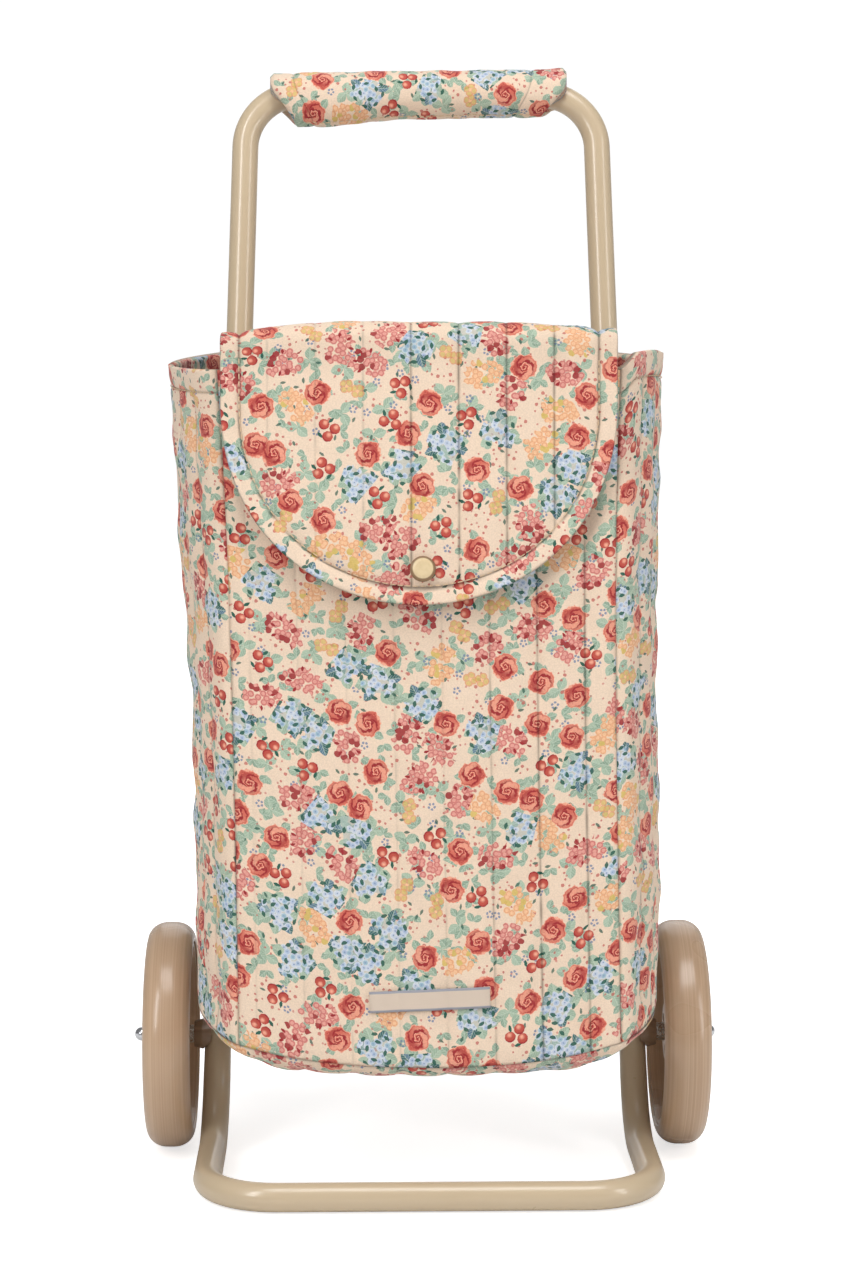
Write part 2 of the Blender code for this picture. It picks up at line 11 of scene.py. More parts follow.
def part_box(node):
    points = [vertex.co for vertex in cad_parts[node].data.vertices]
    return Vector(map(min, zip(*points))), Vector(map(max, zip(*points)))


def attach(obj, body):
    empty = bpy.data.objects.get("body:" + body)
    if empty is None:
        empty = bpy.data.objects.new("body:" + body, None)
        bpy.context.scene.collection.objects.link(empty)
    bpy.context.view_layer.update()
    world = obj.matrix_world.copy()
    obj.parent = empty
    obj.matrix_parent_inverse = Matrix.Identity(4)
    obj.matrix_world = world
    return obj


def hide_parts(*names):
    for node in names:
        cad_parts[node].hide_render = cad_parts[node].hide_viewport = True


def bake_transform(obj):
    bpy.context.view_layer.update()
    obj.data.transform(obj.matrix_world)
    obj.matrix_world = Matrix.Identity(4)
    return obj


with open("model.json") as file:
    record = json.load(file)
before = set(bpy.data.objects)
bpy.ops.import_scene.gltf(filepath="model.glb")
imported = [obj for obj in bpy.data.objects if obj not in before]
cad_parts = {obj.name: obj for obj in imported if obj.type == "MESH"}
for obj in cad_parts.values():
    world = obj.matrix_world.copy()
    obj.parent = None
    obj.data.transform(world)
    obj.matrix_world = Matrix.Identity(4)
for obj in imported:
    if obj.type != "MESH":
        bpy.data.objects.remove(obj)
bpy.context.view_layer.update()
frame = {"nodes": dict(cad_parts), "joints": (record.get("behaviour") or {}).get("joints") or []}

# ---------------- sizes, in metres

JOINTS = {joint["name"]: joint for joint in frame["joints"]}
AXLE_Y, AXLE_Z = JOINTS["left_wheel_spin"]["pos_m"][1:]
FOLD_Y, FOLD_Z = JOINTS["lid_fold"]["pos_m"][1:]
HINGE_Y, HINGE_Z = JOINTS["lid_hinge"]["pos_m"][1:]

TUBE_R = 0.0070
LEAN = radians(12.1)
UPRIGHT_LOW_Z = 0.040
UPRIGHT_LOW_X = 0.1078
UPRIGHT_TAPER = 0.0281
HANDLE_Z = 0.5468
HANDLE_BEND_R = 0.030
FLOOR_BEND_R = 0.035
SOCKET_TOP_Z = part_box("base_tube")[1][2]
BASE_FRONT_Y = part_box("base_tube")[0][1] + TUBE_R

PANEL = 0.0045
BAG_LOW_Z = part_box("bag_bottom")[0][2]
SEAM_FRONT_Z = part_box("bag_front")[0][2]
RIM_FRONT_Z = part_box("bag_front")[1][2]
RIM_BACK_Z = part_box("bag_back")[1][2]
SEAM_SIDE_RISE = 0.0180
FRONT_LOW_Y = AXLE_Y - 0.1250
FRONT_TOP_Y = AXLE_Y - 0.0850
BACK_GAP = 0.0096
SEAM_X = 0.0918
SEAM_TOP_X = 0.0970
SIDE_X = 0.1145
SIDE_TOP_X = 0.1255
SIDE_POWER = 0.6
CROWN = 0.0045
BAG_SWAY = -0.0050

FLAP = 0.0050
FLAP_HALF = 0.0948
FLAP_GAP = 0.0034
FLAP_CREST_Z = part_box("flap_top")[1][2]
FLAP_BACK_Z = 0.4170
FLAP_BACK_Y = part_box("flap_top")[1][1]
FLAP_SIDE_END_Z = 0.3870
FLAP_TIP_Z = 0.2900
FOLD_R = 0.0100
FLAP_BAND = 0.0090

GRIP_LEFT = -0.0810
GRIP_RIGHT = 0.0780
GRIP_R = 0.0125
CHANNEL = 0.0228
BODY_CHANNEL_SHIFT = -0.0143
LID_CHANNEL_SHIFT = -0.0040
HEM = 0.0115
THREAD_R = 0.00032
STITCH = 0.0027
STITCH_PITCH = 0.0036

# Places across a panel, in half widths, and how tightly the channel seams are drawn there.
FRONT_PULL = ((-1, 0.2, 0.4, 0.65, 1), (0.40, 0.50, 0.85, 1.20, 1.10))
LID_PULL = ((-1, -0.15, 0.0, 1), (0.45, 0.55, 1.20, 1.05))
EVEN_PULL = ((-1, 1), (0.85, 0.85))

# Cloth left between the two faces of a quilt under its deepest stitches.
CLEAR_WALL = 0.0011
CLEAR_LID = 0.0012

RIM_LIFT = 0.0080
RIM_DROOP = 0.0015
LID_CURVE = 2.2
TOPSTITCH_START = FOLD_R + 0.155
LAP_STITCH = 23
TYRE_SEAT_R = 0.0480


# ---------------- material nodes


class Graph:
    """Short names for building a material's nodes. Most methods return an output socket."""

    def __init__(self, name):
        self.material = bpy.data.materials.new(name)
        self.material.use_nodes = True
        self.nodes = self.material.node_tree.nodes
        self.links = self.material.node_tree.links
        self.shader = self.nodes["Principled BSDF"]

    def put(self, socket, value):
        if isinstance(value, bpy.types.NodeSocket):
            self.links.new(value, socket)
        elif value is not None:
            socket.default_value = value

    def node(self, kind, *values, named=None, **settings):
        """A new node. Values go to its inputs in order, or by name from named."""
        node = self.nodes.new(kind)
        for key, value in settings.items():
            setattr(node, key, value)
        for socket, value in zip(node.inputs, values):
            self.put(socket, value)
        for name, value in (named or {}).items():
            self.put(node.inputs[name], value)
        return node

    def surface(self, **values):
        """The finished material. Values go to the shader's inputs of that name, with _ for a space."""
        for name, value in values.items():
            self.put(self.shader.inputs[name.replace("_", " ")], value)
        return self.material

    def place(self):
        return self.node("ShaderNodeTexCoord").outputs["Object"]

    def math(self, operation, *values):
        return self.node("ShaderNodeMath", *values, operation=operation).outputs[0]

    def vector(self, operation, *values):
        node = self.node("ShaderNodeVectorMath", *values, operation=operation)
        return node.outputs["Value" if operation in ("LENGTH", "DOT_PRODUCT", "DISTANCE") else "Vector"]

    def times(self, *values):
        product = values[0]
        for value in values[1:]:
            product = self.math("MULTIPLY", product, value)
        return product

    def below(self, value, limit):
        return self.math("LESS_THAN", value, limit)

    def absolute(self, value):
        return self.math("ABSOLUTE", value)

    def sine(self, value):
        return self.math("SINE", value)

    def length(self, vector):
        return self.vector("LENGTH", vector)

    def scaled(self, vector, factor):
        node = self.node("ShaderNodeVectorMath", vector, named={"Scale": factor}, operation="SCALE")
        return node.outputs["Vector"]

    def split(self, vector):
        return self.node("ShaderNodeSeparateXYZ", vector).outputs[:2]

    def join(self, x, y, z=0.0):
        return self.node("ShaderNodeCombineXYZ", x, y, z).outputs[0]

    def mix(self, share, first, second):
        named = {"Factor": share, "A": first, "B": second}
        return self.node("ShaderNodeMix", named=named, data_type="RGBA", clamp_factor=True).outputs["Result"]

    def band(self, value, low, high, start=0.0, end=1.0):
        """value between low and high, smoothly from start to end."""
        node = self.node("ShaderNodeMapRange", value, low, high, start, end)
        node.interpolation_type = "SMOOTHSTEP"
        return node.outputs[0]

    def noise(self, vector, scale, detail=2.0, roughness=0.5, dimensions="3D"):
        named = {"Vector": vector, "Scale": scale, "Detail": detail, "Roughness": roughness}
        return self.node("ShaderNodeTexNoise", named=named, noise_dimensions=dimensions).outputs["Fac"]

    def wobbled(self, vector, scale, amount):
        """The vector, pushed about by a smooth noise."""
        noise = self.node("ShaderNodeTexNoise", named={"Vector": vector, "Scale": scale}, noise_dimensions="2D")
        shake = self.vector("SUBTRACT", noise.outputs["Color"], (0.5, 0.5, 0.5))
        return self.vector("ADD", vector, self.scaled(shake, amount))

    def cells(self, vector, size, randomness):
        """(distance, three random numbers, centre) of the nearest cell point, in a lattice of that size."""
        named = {"Vector": vector, "Scale": 1.0 / size, "Randomness": randomness}
        node = self.node("ShaderNodeTexVoronoi", named=named, voronoi_dimensions="2D", feature="F1")
        chances = self.node("ShaderNodeSeparateColor", node.outputs["Color"]).outputs
        return node.outputs["Distance"], chances, node.outputs["Position"]

    def turn(self, vector, angle):
        named = {"Vector": vector, "Angle": angle}
        return self.node("ShaderNodeVectorRotate", named=named, rotation_type="Z_AXIS").outputs[0]

    def bump(self, height, distance, strength=1.0, normal=None):
        named = {"Strength": strength, "Distance": distance, "Height": height, "Normal": normal}
        return self.node("ShaderNodeBump", named=named).outputs[0]


def rgb(red, green, blue):
    """A colour given as 0 to 255 sRGB numbers, in Blender's linear values."""
    shares = [value / 255 for value in (red, green, blue)]
    return (*[s / 12.92 if s < 0.04045 else ((s + 0.055) / 1.055) ** 2.4 for s in shares], 1.0)


# ---------------- the floral print

CREAM = rgb(226, 203, 180)
CORAL = rgb(202, 102, 86)
BLUSH = rgb(230, 164, 138)
CRIMSON = rgb(154, 46, 50)
CHERRY = rgb(186, 80, 68)
PINK = rgb(218, 152, 140)
PINK_LINE = rgb(190, 92, 88)
PEACH = rgb(232, 184, 142)
PEACH_LINE = rgb(216, 146, 104)
PERIWINKLE = rgb(168, 184, 206)
LAVENDER = rgb(192, 200, 212)
SKY = rgb(152, 180, 194)
SLATE = rgb(88, 118, 138)
DEEP_GREEN = rgb(46, 92, 78)
SAGE = rgb(136, 158, 138)
MINT = rgb(164, 182, 160)
YELLOW = rgb(208, 178, 98)
SOFT_RED = rgb(188, 92, 84)
STAR_BLUE = rgb(110, 126, 156)
PALE_RIB = rgb(196, 208, 190)

# Shares of the flower places: roses lie below CHERRIES, then each motif starts at its own number.
CHERRIES, HYDRANGEA, BLOSSOM = 0.27, 0.45, 0.65

# The print's brightness, and its threads' spacing in millimetres across and along.
INK = 1.02
WEAVE = (0.42, 0.46)


class Print(Graph):
    """The bag's print, drawn motif by motif in millimetres of flat cloth over a cream ground."""

    def __init__(self, name):
        super().__init__(name)
        cloth = self.node("ShaderNodeAttribute", attribute_name="cloth").outputs["Vector"]
        self.flat = self.scaled(cloth, 1000.0)
        self.uv = self.wobbled(self.flat, 0.9, 0.55)
        self.colour = CREAM

    def paint(self, masks, colour, strength=None):
        """Lays the colour where all the masks are 1."""
        share = self.times(*masks) if strength is None else self.times(*masks, strength)
        self.colour = self.mix(share, self.colour, colour)

    def lattice(self, size, randomness, slant):
        """Motif places: the vector from a place, turned at random, its three chances, itself and the cloth."""
        moved = self.vector("ADD", self.turn(self.uv, slant), (31.0 * slant, 17.0 * slant, 0.0))
        _, chances, place = self.cells(moved, size, randomness)
        away = self.vector("SUBTRACT", moved, place)
        return self.turn(away, self.times(chances[0], 2 * pi)), chances, place, moved

    def among(self, value, low, high):
        """1 where low < value < high."""
        return self.times(self.math("GREATER_THAN", value, low), self.below(value, high))

    def at(self, vector, x, y, angle=0.0):
        moved = self.vector("SUBTRACT", vector, (x, y, 0.0))
        return self.turn(moved, -angle) if angle else moved

    def disc(self, vector, radius):
        return self.below(self.length(vector), radius)

    def leaf(self, vector, length, width):
        """A pointed leaf along X, centred. Returns (mask, half): half is 1 on its upper side."""
        x, y = self.split(vector)
        along = self.math("DIVIDE", x, length / 2)
        edge = self.math("SUBTRACT", 1.0, self.times(along, along))
        limit = self.times(edge, width / 2)
        return self.below(self.absolute(y), limit), self.math("GREATER_THAN", y, 0.0)

    def spray(self, vector, count, radius):
        """Repeats what follows count times round a ring: a vector from the nearest of those places."""
        x, y = self.split(vector)
        angle = self.math("ARCTAN2", y, x)
        share = self.math("FRACT", self.times(angle, count / (2 * pi)))
        side = self.times(self.math("SUBTRACT", share, 0.5), 2 * pi * radius / count)
        out = self.math("SUBTRACT", self.length(vector), radius)
        return self.join(side, out)

    def lobes(self, vector, count, phase):
        """A wave between -1 and 1 that goes count times round the middle."""
        x, y = self.split(vector)
        return self.sine(self.math("MULTIPLY_ADD", self.math("ARCTAN2", y, x), count, phase))

    def florets(self, moved, place, size, radius, petal):
        """Round florets packed inside a circle about the place: (mask, distance, random numbers)."""
        distance, chances, spot = self.cells(moved, size, 0.75)
        near = self.below(self.vector("DISTANCE", spot, place), radius)
        gap = self.times(distance, size)
        return self.times(near, self.below(gap, petal)), gap, chances

    def leaves(self, vector, where, size, tone, shade, spots, share=0.5):
        """Leaves at each (x, y, angle), with one half shaded, a pale midrib and side veins."""
        for spot in spots:
            there = self.at(vector, *spot)
            mask, half = self.leaf(there, *size)
            colour = self.mix(self.times(half, share), tone, shade)
            x, y = self.split(there)
            from_rib = self.absolute(y)
            veins = self.sine(self.times(self.math("SUBTRACT", x, from_rib), 4.4))
            colour = self.mix(self.band(veins, 0.3, 0.9, 0.0, 0.35), colour, PALE_RIB)
            colour = self.mix(self.times(self.band(from_rib, 0.26, 0.10), 0.5), colour, PALE_RIB)
            self.paint((where, mask), colour)

    def fillers(self):
        """Small sprigs behind the flowers: leaf pairs, dots, stars and specks."""
        vector, chance, _, _ = self.lattice(7.9, 0.85, 0.35)
        pick = chance[1]
        pairs = self.among(pick, 0.0, 0.42)
        self.leaves(vector, pairs, (5.0, 3.3), SAGE, MINT, ((1.8, 1.2, 0.7), (-1.7, 1.1, 2.3)))
        dots = self.among(pick, 0.44, 0.80)
        for x, y, size in ((0.0, 1.6, 0.85), (2.0, -0.6, 0.6), (-1.7, -1.2, 0.5)):
            self.paint((dots, self.disc(self.at(vector, x, y), size)), SOFT_RED, 0.8)
        star = self.among(pick, 0.84, 1.0)
        petal = self.spray(vector, 5, 1.35)
        self.paint((star, self.disc(petal, 0.60)), STAR_BLUE, 0.85)
        self.paint((star, self.disc(vector, 0.55)), CREAM)
        vector, chance, _, _ = self.lattice(6.1, 0.9, -0.8)
        self.paint((self.among(chance[1], 0.0, 0.36), self.disc(vector, 0.55)), PINK_LINE, 0.6)
        mask, _ = self.leaf(vector, 3.0, 1.3)
        self.paint((self.among(chance[1], 0.70, 0.92), mask), DEEP_GREEN, 0.85)

    def leaf_sprays(self):
        """Round veined leaves in threes, under the flowers."""
        vector, chance, _, _ = self.lattice(14.5, 0.7, -0.9)
        where = self.among(chance[1], 0.0, 0.45)
        spots = ((3.0, 0.2, 0.2), (-1.4, 3.0, 2.0), (-2.0, -2.6, -2.3))
        self.leaves(vector, where, (6.6, 4.8), MINT, SAGE, spots)

    def blossoms(self, vector, place, moved, pick):
        """Pink and peach clusters of looped florets, and small yellow flowers."""
        pink = self.among(pick, 0.0, 0.42)
        peach = self.among(pick, 0.42, 0.72)
        yellow = self.among(pick, 0.72, 1.0)
        reach = self.math("MULTIPLY_ADD", self.lobes(vector, 2.0, 1.0), 1.9, 7.8)
        mask, gap, tone = self.florets(moved, place, 2.9, reach, 1.7)
        ring = self.band(self.absolute(self.math("SUBTRACT", gap, 1.15)), 0.42, 0.12)
        rose = self.mix(self.times(ring, 0.75), PINK, PINK_LINE)
        rose = self.mix(self.among(tone[1], 0.84, 1.0), rose, CRIMSON)
        self.paint((pink, mask), rose, 0.95)
        warm = self.mix(self.times(ring, 0.7), PEACH, PEACH_LINE)
        warm = self.mix(self.among(tone[1], 0.84, 1.0), warm, YELLOW)
        self.paint((peach, mask), warm, 0.92)
        dash, _ = self.leaf(self.spray(vector, 7, 5.6), 1.4, 2.6)
        self.paint((pink, dash, self.among(self.split(vector)[0], -1.0, 9.0)), CRIMSON)
        for x, y in ((-2.4, 1.2), (2.6, -1.6)):
            near = self.at(vector, x, y)
            bloom = self.spray(near, 4, 1.9)
            petal = self.mix(self.band(self.length(bloom), 0.8, 1.5), YELLOW, PEACH_LINE)
            self.paint((yellow, self.disc(bloom, 1.65)), petal, 0.8)
            self.paint((yellow, self.disc(near, 0.7)), PEACH)

    def hydrangeas(self, vector, place, moved, every, chance):
        """Blue flower heads over mint and slate leaves, with small dark leaves among them."""
        pale = ((-6.6, 4.2, 2.6), (-7.4, -1.8, 3.5), (6.6, 5.4, 0.8), (2.8, -7.8, -1.3))
        dark = ((7.2, -2.8, -0.5), (-3.2, 7.2, 1.9), (-4.0, -6.6, -2.2))
        self.leaves(vector, every, (7.6, 5.4), MINT, SAGE, pale)
        self.leaves(vector, every, (7.4, 4.6), SLATE, DEEP_GREEN, dark, 0.65)
        reach = self.math("MULTIPLY_ADD", self.lobes(vector, 3.0, self.times(chance, 6.0)), 1.8, 7.6)
        mask, gap, tone = self.florets(moved, place, 2.8, reach, 1.6)
        petal = self.mix(self.band(tone[1], 0.3, 0.7), PERIWINKLE, LAVENDER)
        petal = self.mix(self.band(tone[2], 0.74, 0.84), petal, SKY)
        petal = self.mix(self.band(gap, 0.9, 1.4, 0.0, 0.7), petal, rgb(212, 214, 216))
        petal = self.mix(self.band(gap, 0.55, 0.2), petal, rgb(132, 150, 180))
        head = self.below(self.length(vector), self.math("SUBTRACT", reach, 0.6))
        self.paint((every, head), rgb(158, 178, 176), 0.55)
        shown = self.below(tone[0], 0.84)
        self.paint((every, mask, shown), petal)
        for count, out, turn in ((8, 8.0, 0.4), (4, 4.4, 1.1)):
            dash, _ = self.leaf(self.spray(self.turn(vector, turn), count, out), 3.3, 1.8)
            self.paint((every, dash), DEEP_GREEN, 0.95)

    def rose(self, vector, where):
        """A rose: five pale-edged outer petals round a curled heart, over two leaves, darker on one side."""
        self.leaves(vector, where, (6.0, 4.0), SAGE, MINT, ((-6.0, -3.6, 0.8), (5.6, 4.6, 0.5)))
        vector = self.wobbled(vector, 0.34, 3.0)
        x, y = self.split(vector)
        petals = self.length(self.spray(vector, 5, 3.1))
        radius = self.length(vector)
        angle = self.math("ARCTAN2", y, x)
        tone = self.mix(self.band(y, -3.5, 3.5, 0.0, 0.8), CORAL, BLUSH)
        tone = self.mix(self.band(petals, 1.9, 2.6, 0.0, 0.8), tone, CORAL)
        curl = self.sine(self.math("MULTIPLY_ADD", angle, 3.0, self.times(radius, 1.75)))
        tone = self.mix(self.times(self.band(curl, 0.0, 0.7), self.band(radius, 5.8, 4.2)), tone, CRIMSON)
        tone = self.mix(self.band(petals, 2.75, 3.1), tone, BLUSH)
        self.paint((where, self.below(petals, 3.3)), tone)
        heart = self.math("FRACT", self.math("MULTIPLY_ADD", angle, 1 / (2 * pi), self.math("DIVIDE", radius, 1.5)))
        tone = self.mix(self.band(heart, 0.30, 0.60), CRIMSON, CORAL)
        tone = self.mix(self.band(heart, 0.60, 0.85), tone, BLUSH)
        self.paint((where, self.disc(vector, 2.5)), tone)
        low = self.times(self.band(self.math("ADD", x, self.times(y, -0.8)), 1.5, 4.5), self.disc(vector, 5.0))
        self.paint((where, low), CRIMSON, 0.55)

    def cherries(self, vector, where):
        """Three cherries with a small pale highlight each, and two dark leaves."""
        for x, y in ((-3.1, -1.0), (2.8, 0.1), (-0.4, 3.9)):
            near = self.at(vector, x, y)
            shade = self.mix(self.band(self.length(self.at(near, -0.7, 0.7)), 0.2, 1.7), BLUSH, CHERRY)
            shade = self.mix(self.band(self.length(self.at(near, -0.6, 0.6)), 2.1, 3.1), shade, CRIMSON)
            self.paint((where, self.disc(near, 2.55)), shade)
        for x, y, angle in ((1.7, -3.4, 0.6), (-4.6, 2.6, 2.2)):
            mask, _ = self.leaf(self.at(vector, x, y, angle), 3.6, 1.5)
            self.paint((where, mask), DEEP_GREEN)

    def cloth_surface(self):
        """Cotton: ink a little uneven over a fine plain weave, with a soft sheen, and painted shade that darkens
        creases and seams.
        """
        ink = self.noise(self.flat, 1.3, 3.0, 0.6, "2D")
        # Painted shade: the mesh marks creases, seams and inner faces that lie in shadow, and the colour darkens there
        # down to 0.35.
        painted_shade = self.node("ShaderNodeAttribute", attribute_name="painted_shade").outputs["Fac"]
        tone = self.band(ink, 0.25, 0.75, 0.92 * INK, 1.06 * INK)
        tone = self.times(tone, self.band(painted_shade, 0.0, 1.0, 1.0, 0.35))
        warp, weft = [self.sine(self.times(at, 2 * pi / pitch)) for at, pitch in zip(self.split(self.flat), WEAVE)]
        soft = self.bump(self.noise(self.flat, 0.16, 4.0, 0.62, "2D"), 0.0011, 0.55)
        return self.surface(
            Base_Color=self.scaled(self.colour, tone),
            Normal=self.bump(self.times(warp, weft), 0.00006, 0.6, soft),
            Roughness=self.band(ink, 0.3, 0.7, 0.78, 0.92),
            Sheen_Weight=0.18,
            Sheen_Roughness=0.45,
            Specular_IOR_Level=0.25,
        )


def print_material(name):
    """The motifs in order, from the leaves at the back to the flowers, which share one lattice of places."""
    graph = Print(name)
    graph.leaf_sprays()
    graph.fillers()
    vector, chance, place, moved = graph.lattice(17.6, 0.55, 0.45)
    pick = chance[1]
    from_blossoms = graph.math("MULTIPLY_ADD", pick, 1 / (1 - BLOSSOM), -BLOSSOM / (1 - BLOSSOM))
    graph.blossoms(vector, place, moved, from_blossoms)
    graph.hydrangeas(vector, place, moved, graph.among(pick, HYDRANGEA, BLOSSOM), chance[2])
    graph.rose(vector, graph.among(pick, -1.0, CHERRIES))
    graph.cherries(vector, graph.among(pick, CHERRIES, HYDRANGEA))
    return graph.cloth_surface()


# ---------------- other materials


def darker(colour, share):
    return tuple(share * value for value in colour[:3]) + (1.0,)


def paint_material():
    """Glossy powder coat, with a faint orange peel."""
    graph = Graph("powder_coat")
    place = graph.place()
    return graph.surface(
        Base_Color=graph.mix(graph.noise(place, 14.0, 3.0), rgb(197, 178, 149), rgb(191, 171, 142)),
        Normal=graph.bump(graph.noise(place, 620.0, 2.0), 0.00004, 0.5),
        Roughness=graph.band(graph.noise(place, 60.0, 3.0), 0.2, 0.8, 0.27, 0.33),
        Coat_Weight=0.35,
        Coat_Roughness=0.12,
    )


def plastic_material(name, colour, streaks, low, high):
    """Moulded plastic. Streaks run round the wheel, as a turned mould leaves them."""
    graph = Graph(name)
    place = graph.place()
    mottle = graph.noise(place, 18.0, 1.0)
    base = graph.mix(mottle, colour, darker(colour, 0.96))
    if streaks:
        centre = graph.vector("SUBTRACT", place, (0.0, AXLE_Y, AXLE_Z))
        out = graph.length(graph.vector("MULTIPLY", centre, (0.0, 1.0, 1.0)))
        lines = graph.noise(graph.join(graph.split(place)[0], out), 900.0, 3.0, 0.6, "2D")
        base = graph.mix(graph.band(lines, 0.35, 0.75, 0.0, streaks), base, rgb(226, 200, 170))
        graph.surface(Normal=graph.bump(lines, 0.00012, 0.5))
    rough = graph.band(mottle, 0.2, 0.8, low, high)
    return graph.surface(Base_Color=base, Roughness=rough, Coat_Weight=0.2, Coat_Roughness=0.15)


def metal_material(name, colour, roughness):
    """Bare metal with fine scuffs."""
    graph = Graph(name)
    scuffs = graph.noise(graph.place(), 700.0, 4.0, 0.6)
    return graph.surface(
        Base_Color=graph.mix(graph.band(scuffs, 0.3, 0.8, 0.0, 0.3), colour, rgb(120, 118, 114)),
        Normal=graph.bump(scuffs, 0.00002, 0.4),
        Roughness=graph.band(scuffs, 0.3, 0.7, roughness * 0.7, roughness * 1.4),
        Metallic=1.0,
    )


def thread_material():
    graph = Graph("cream_thread")
    colour = rgb(226, 196, 160)
    twist = graph.noise(graph.place(), 2600.0, 2.0)
    return graph.surface(
        Base_Color=graph.mix(graph.band(twist, 0.3, 0.7), colour, darker(colour, 0.72)),
        Normal=graph.bump(twist, 0.00008, 0.6),
        Roughness=graph.band(twist, 0.3, 0.7, 0.6, 0.8),
        Sheen_Weight=0.2,
    )


def enamel_material():
    """Cream enamel. The lid's stud has a brown ring just inside its cap's edge."""
    graph = Graph("stud_enamel")
    place = graph.place()
    drift = graph.noise(place, 400.0, 3.0)
    colour = graph.mix(graph.band(drift, 0.3, 0.7), rgb(218, 196, 156), rgb(210, 187, 146))
    low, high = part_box("snap_cap")
    edge = (high[0] - low[0]) / 2
    away = graph.length(graph.vector("SUBTRACT", place, [(a + b) / 2 for a, b in zip(low, high)]))
    inside, outside = graph.band(away, edge - 0.0006, edge - 0.0002), graph.band(away, edge * 1.5, edge * 1.2)
    return graph.surface(
        Base_Color=graph.mix(graph.times(inside, outside), colour, rgb(132, 104, 74)),
        Normal=graph.bump(drift, 0.00003, 0.4),
        Roughness=graph.band(drift, 0.3, 0.7, 0.32, 0.46),
    )


def label_material():
    """Plain woven label: beige satin with slate edges and rows of fine picks."""
    graph = Graph("woven_label")
    x, y = graph.split(graph.node("ShaderNodeAttribute", attribute_name="cloth").outputs["Vector"])
    picks = graph.sine(graph.times(y, 2 * pi / 0.00045))
    ends = graph.sine(graph.times(x, 2 * pi / 0.00060))
    weave = graph.times(picks, ends)
    share = graph.band(weave, -1.0, 1.0)
    ground = graph.mix(share, rgb(218, 200, 182), rgb(202, 184, 166))
    edge = graph.mix(share, rgb(128, 134, 150), rgb(168, 164, 166))
    border = graph.band(graph.absolute(y), 0.0037, 0.0040)
    return graph.surface(
        Base_Color=graph.mix(border, ground, edge),
        Normal=graph.bump(weave, 0.00008, 0.8),
        Roughness=graph.band(weave, -1.0, 1.0, 0.55, 0.75),
        Sheen_Weight=0.2,
    )


MATERIALS = {
    "quilt": print_material("floral_quilt"),
    "paint": paint_material(),
    "wheel": plastic_material("wheel_plastic", rgb(184, 153, 124), 0.30, 0.26, 0.3),
    "boss": plastic_material("boss_plastic", rgb(146, 120, 96), 0.0, 0.35, 0.5),
    "steel": metal_material("bright_steel", rgb(206, 202, 196), 0.28),
    "chrome": metal_material("chrome", rgb(222, 224, 228), 0.12),
    "enamel": enamel_material(),
    "thread": thread_material(),
    "label": label_material(),
}


# ---------------- mesh helpers


def new_piece(name, vertices, faces, material, cloth=None, painted_shade=None):
    """A smooth mesh. cloth holds each vertex's place on the flat cloth, and the last argument its painted shade."""
    mesh = bpy.data.meshes.new(name)
    mesh.from_pydata([tuple(map(float, vertex)) for vertex in vertices], [], faces)
    mesh.validate()
    for label, kind, key, values in (
        ("cloth", "FLOAT_VECTOR", "vector", cloth),
        ("painted_shade", "FLOAT", "value", painted_shade),
    ):
        if values is not None:
            attribute = mesh.attributes.new(label, kind, "POINT")
            attribute.data.foreach_set(key, np.asarray(values, np.float32).ravel())
    mesh.shade_smooth()
    mesh.materials.append(MATERIALS[material])
    piece = bpy.data.objects.new(name, mesh)
    bpy.context.scene.collection.objects.link(piece)
    return piece


def place(piece, body, slot, *nodes):
    """The piece rides on the body and stands for the CAD nodes, which it hides; slot is not used."""
    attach(piece, body)
    if nodes:
        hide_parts(*nodes)


def points(x, y, z):
    """A grid of points from three grids of coordinates, or single numbers."""
    return np.stack(np.broadcast_arrays(x, y, z), axis=-1).astype(float)


def grid_faces(index, closed=False):
    """The faces of a grid of vertex numbers. Where closed, the last column joins the first."""
    here = index if closed else index[:, :-1]
    after = np.roll(index, -1, axis=1) if closed else index[:, 1:]
    return np.stack([here[:-1], after[:-1], after[1:], here[1:]], axis=-1).reshape(-1, 4)


def round_faces(rings, sides, first=0):
    """The faces of a round solid with flat ends, whose vertices run ring by ring from number first."""
    index = first + np.arange(rings * sides).reshape(rings, sides)
    return [*grid_faces(index, True).tolist(), index[0, ::-1].tolist(), index[-1].tolist()]


def shell(name, outer, inner, faces, rims, material, cloth, painted_shades, caps=()):
    """A closed quilt between two grids: outer has those faces, inner has them turned over, and rims
    are the loops of vertices that join the two."""
    shift = outer.shape[0] * outer.shape[1]
    every = faces.tolist() + (faces[:, ::-1] + shift).tolist()
    for loop in rims:
        after = np.roll(loop, -1)
        every += np.stack([loop, after, after + shift, loop + shift], axis=-1).tolist()
    vertices = np.concatenate([outer.reshape(-1, 3), inner.reshape(-1, 3)])
    # Both faces carry their painted shade, which the cloth material darkens its colour by.
    return new_piece(name, vertices, [*every, *caps], material, np.concatenate(cloth), np.concatenate(painted_shades))


def numbered(grid):
    rows, columns = grid.shape[:2]
    return np.arange(rows * columns).reshape(rows, columns)


def skin(name, outer, inner, cloth, material, painted_shade=None):
    """A closed sheet of quilt. Its inner face has another part of the print, and painted shade: darker all over, with
    half the outer face's painted crease shade.
    """
    index = numbered(outer)
    border = np.concatenate([index[0, :-1], index[:-1, -1], index[-1, :0:-1], index[:0:-1, 0]])
    flat = cloth.reshape(-1, 3)
    shade = np.zeros(len(flat)) if painted_shade is None else painted_shade.ravel()
    cloths = (flat, flat * (-1, 1, 1) + (0.37, 0.21, 0))
    return shell(name, outer, inner, grid_faces(index), [border[::-1]], material, cloths, (shade, 0.3 + 0.5 * shade))


def waves(x, y, length, seed, count=7):
    """A smooth uneven surface between about -1 and 1, whose bumps are about that long."""
    random = np.random.default_rng(seed)
    total = np.zeros_like(x)
    for _ in range(count):
        angle = random.uniform(0, 2 * pi)
        pitch = length * random.uniform(0.7, 1.6)
        phase = random.uniform(0, 2 * pi)
        total += np.sin(2 * pi / pitch * (x * cos(angle) + y * sin(angle)) + phase)
    return total / (0.55 * count)


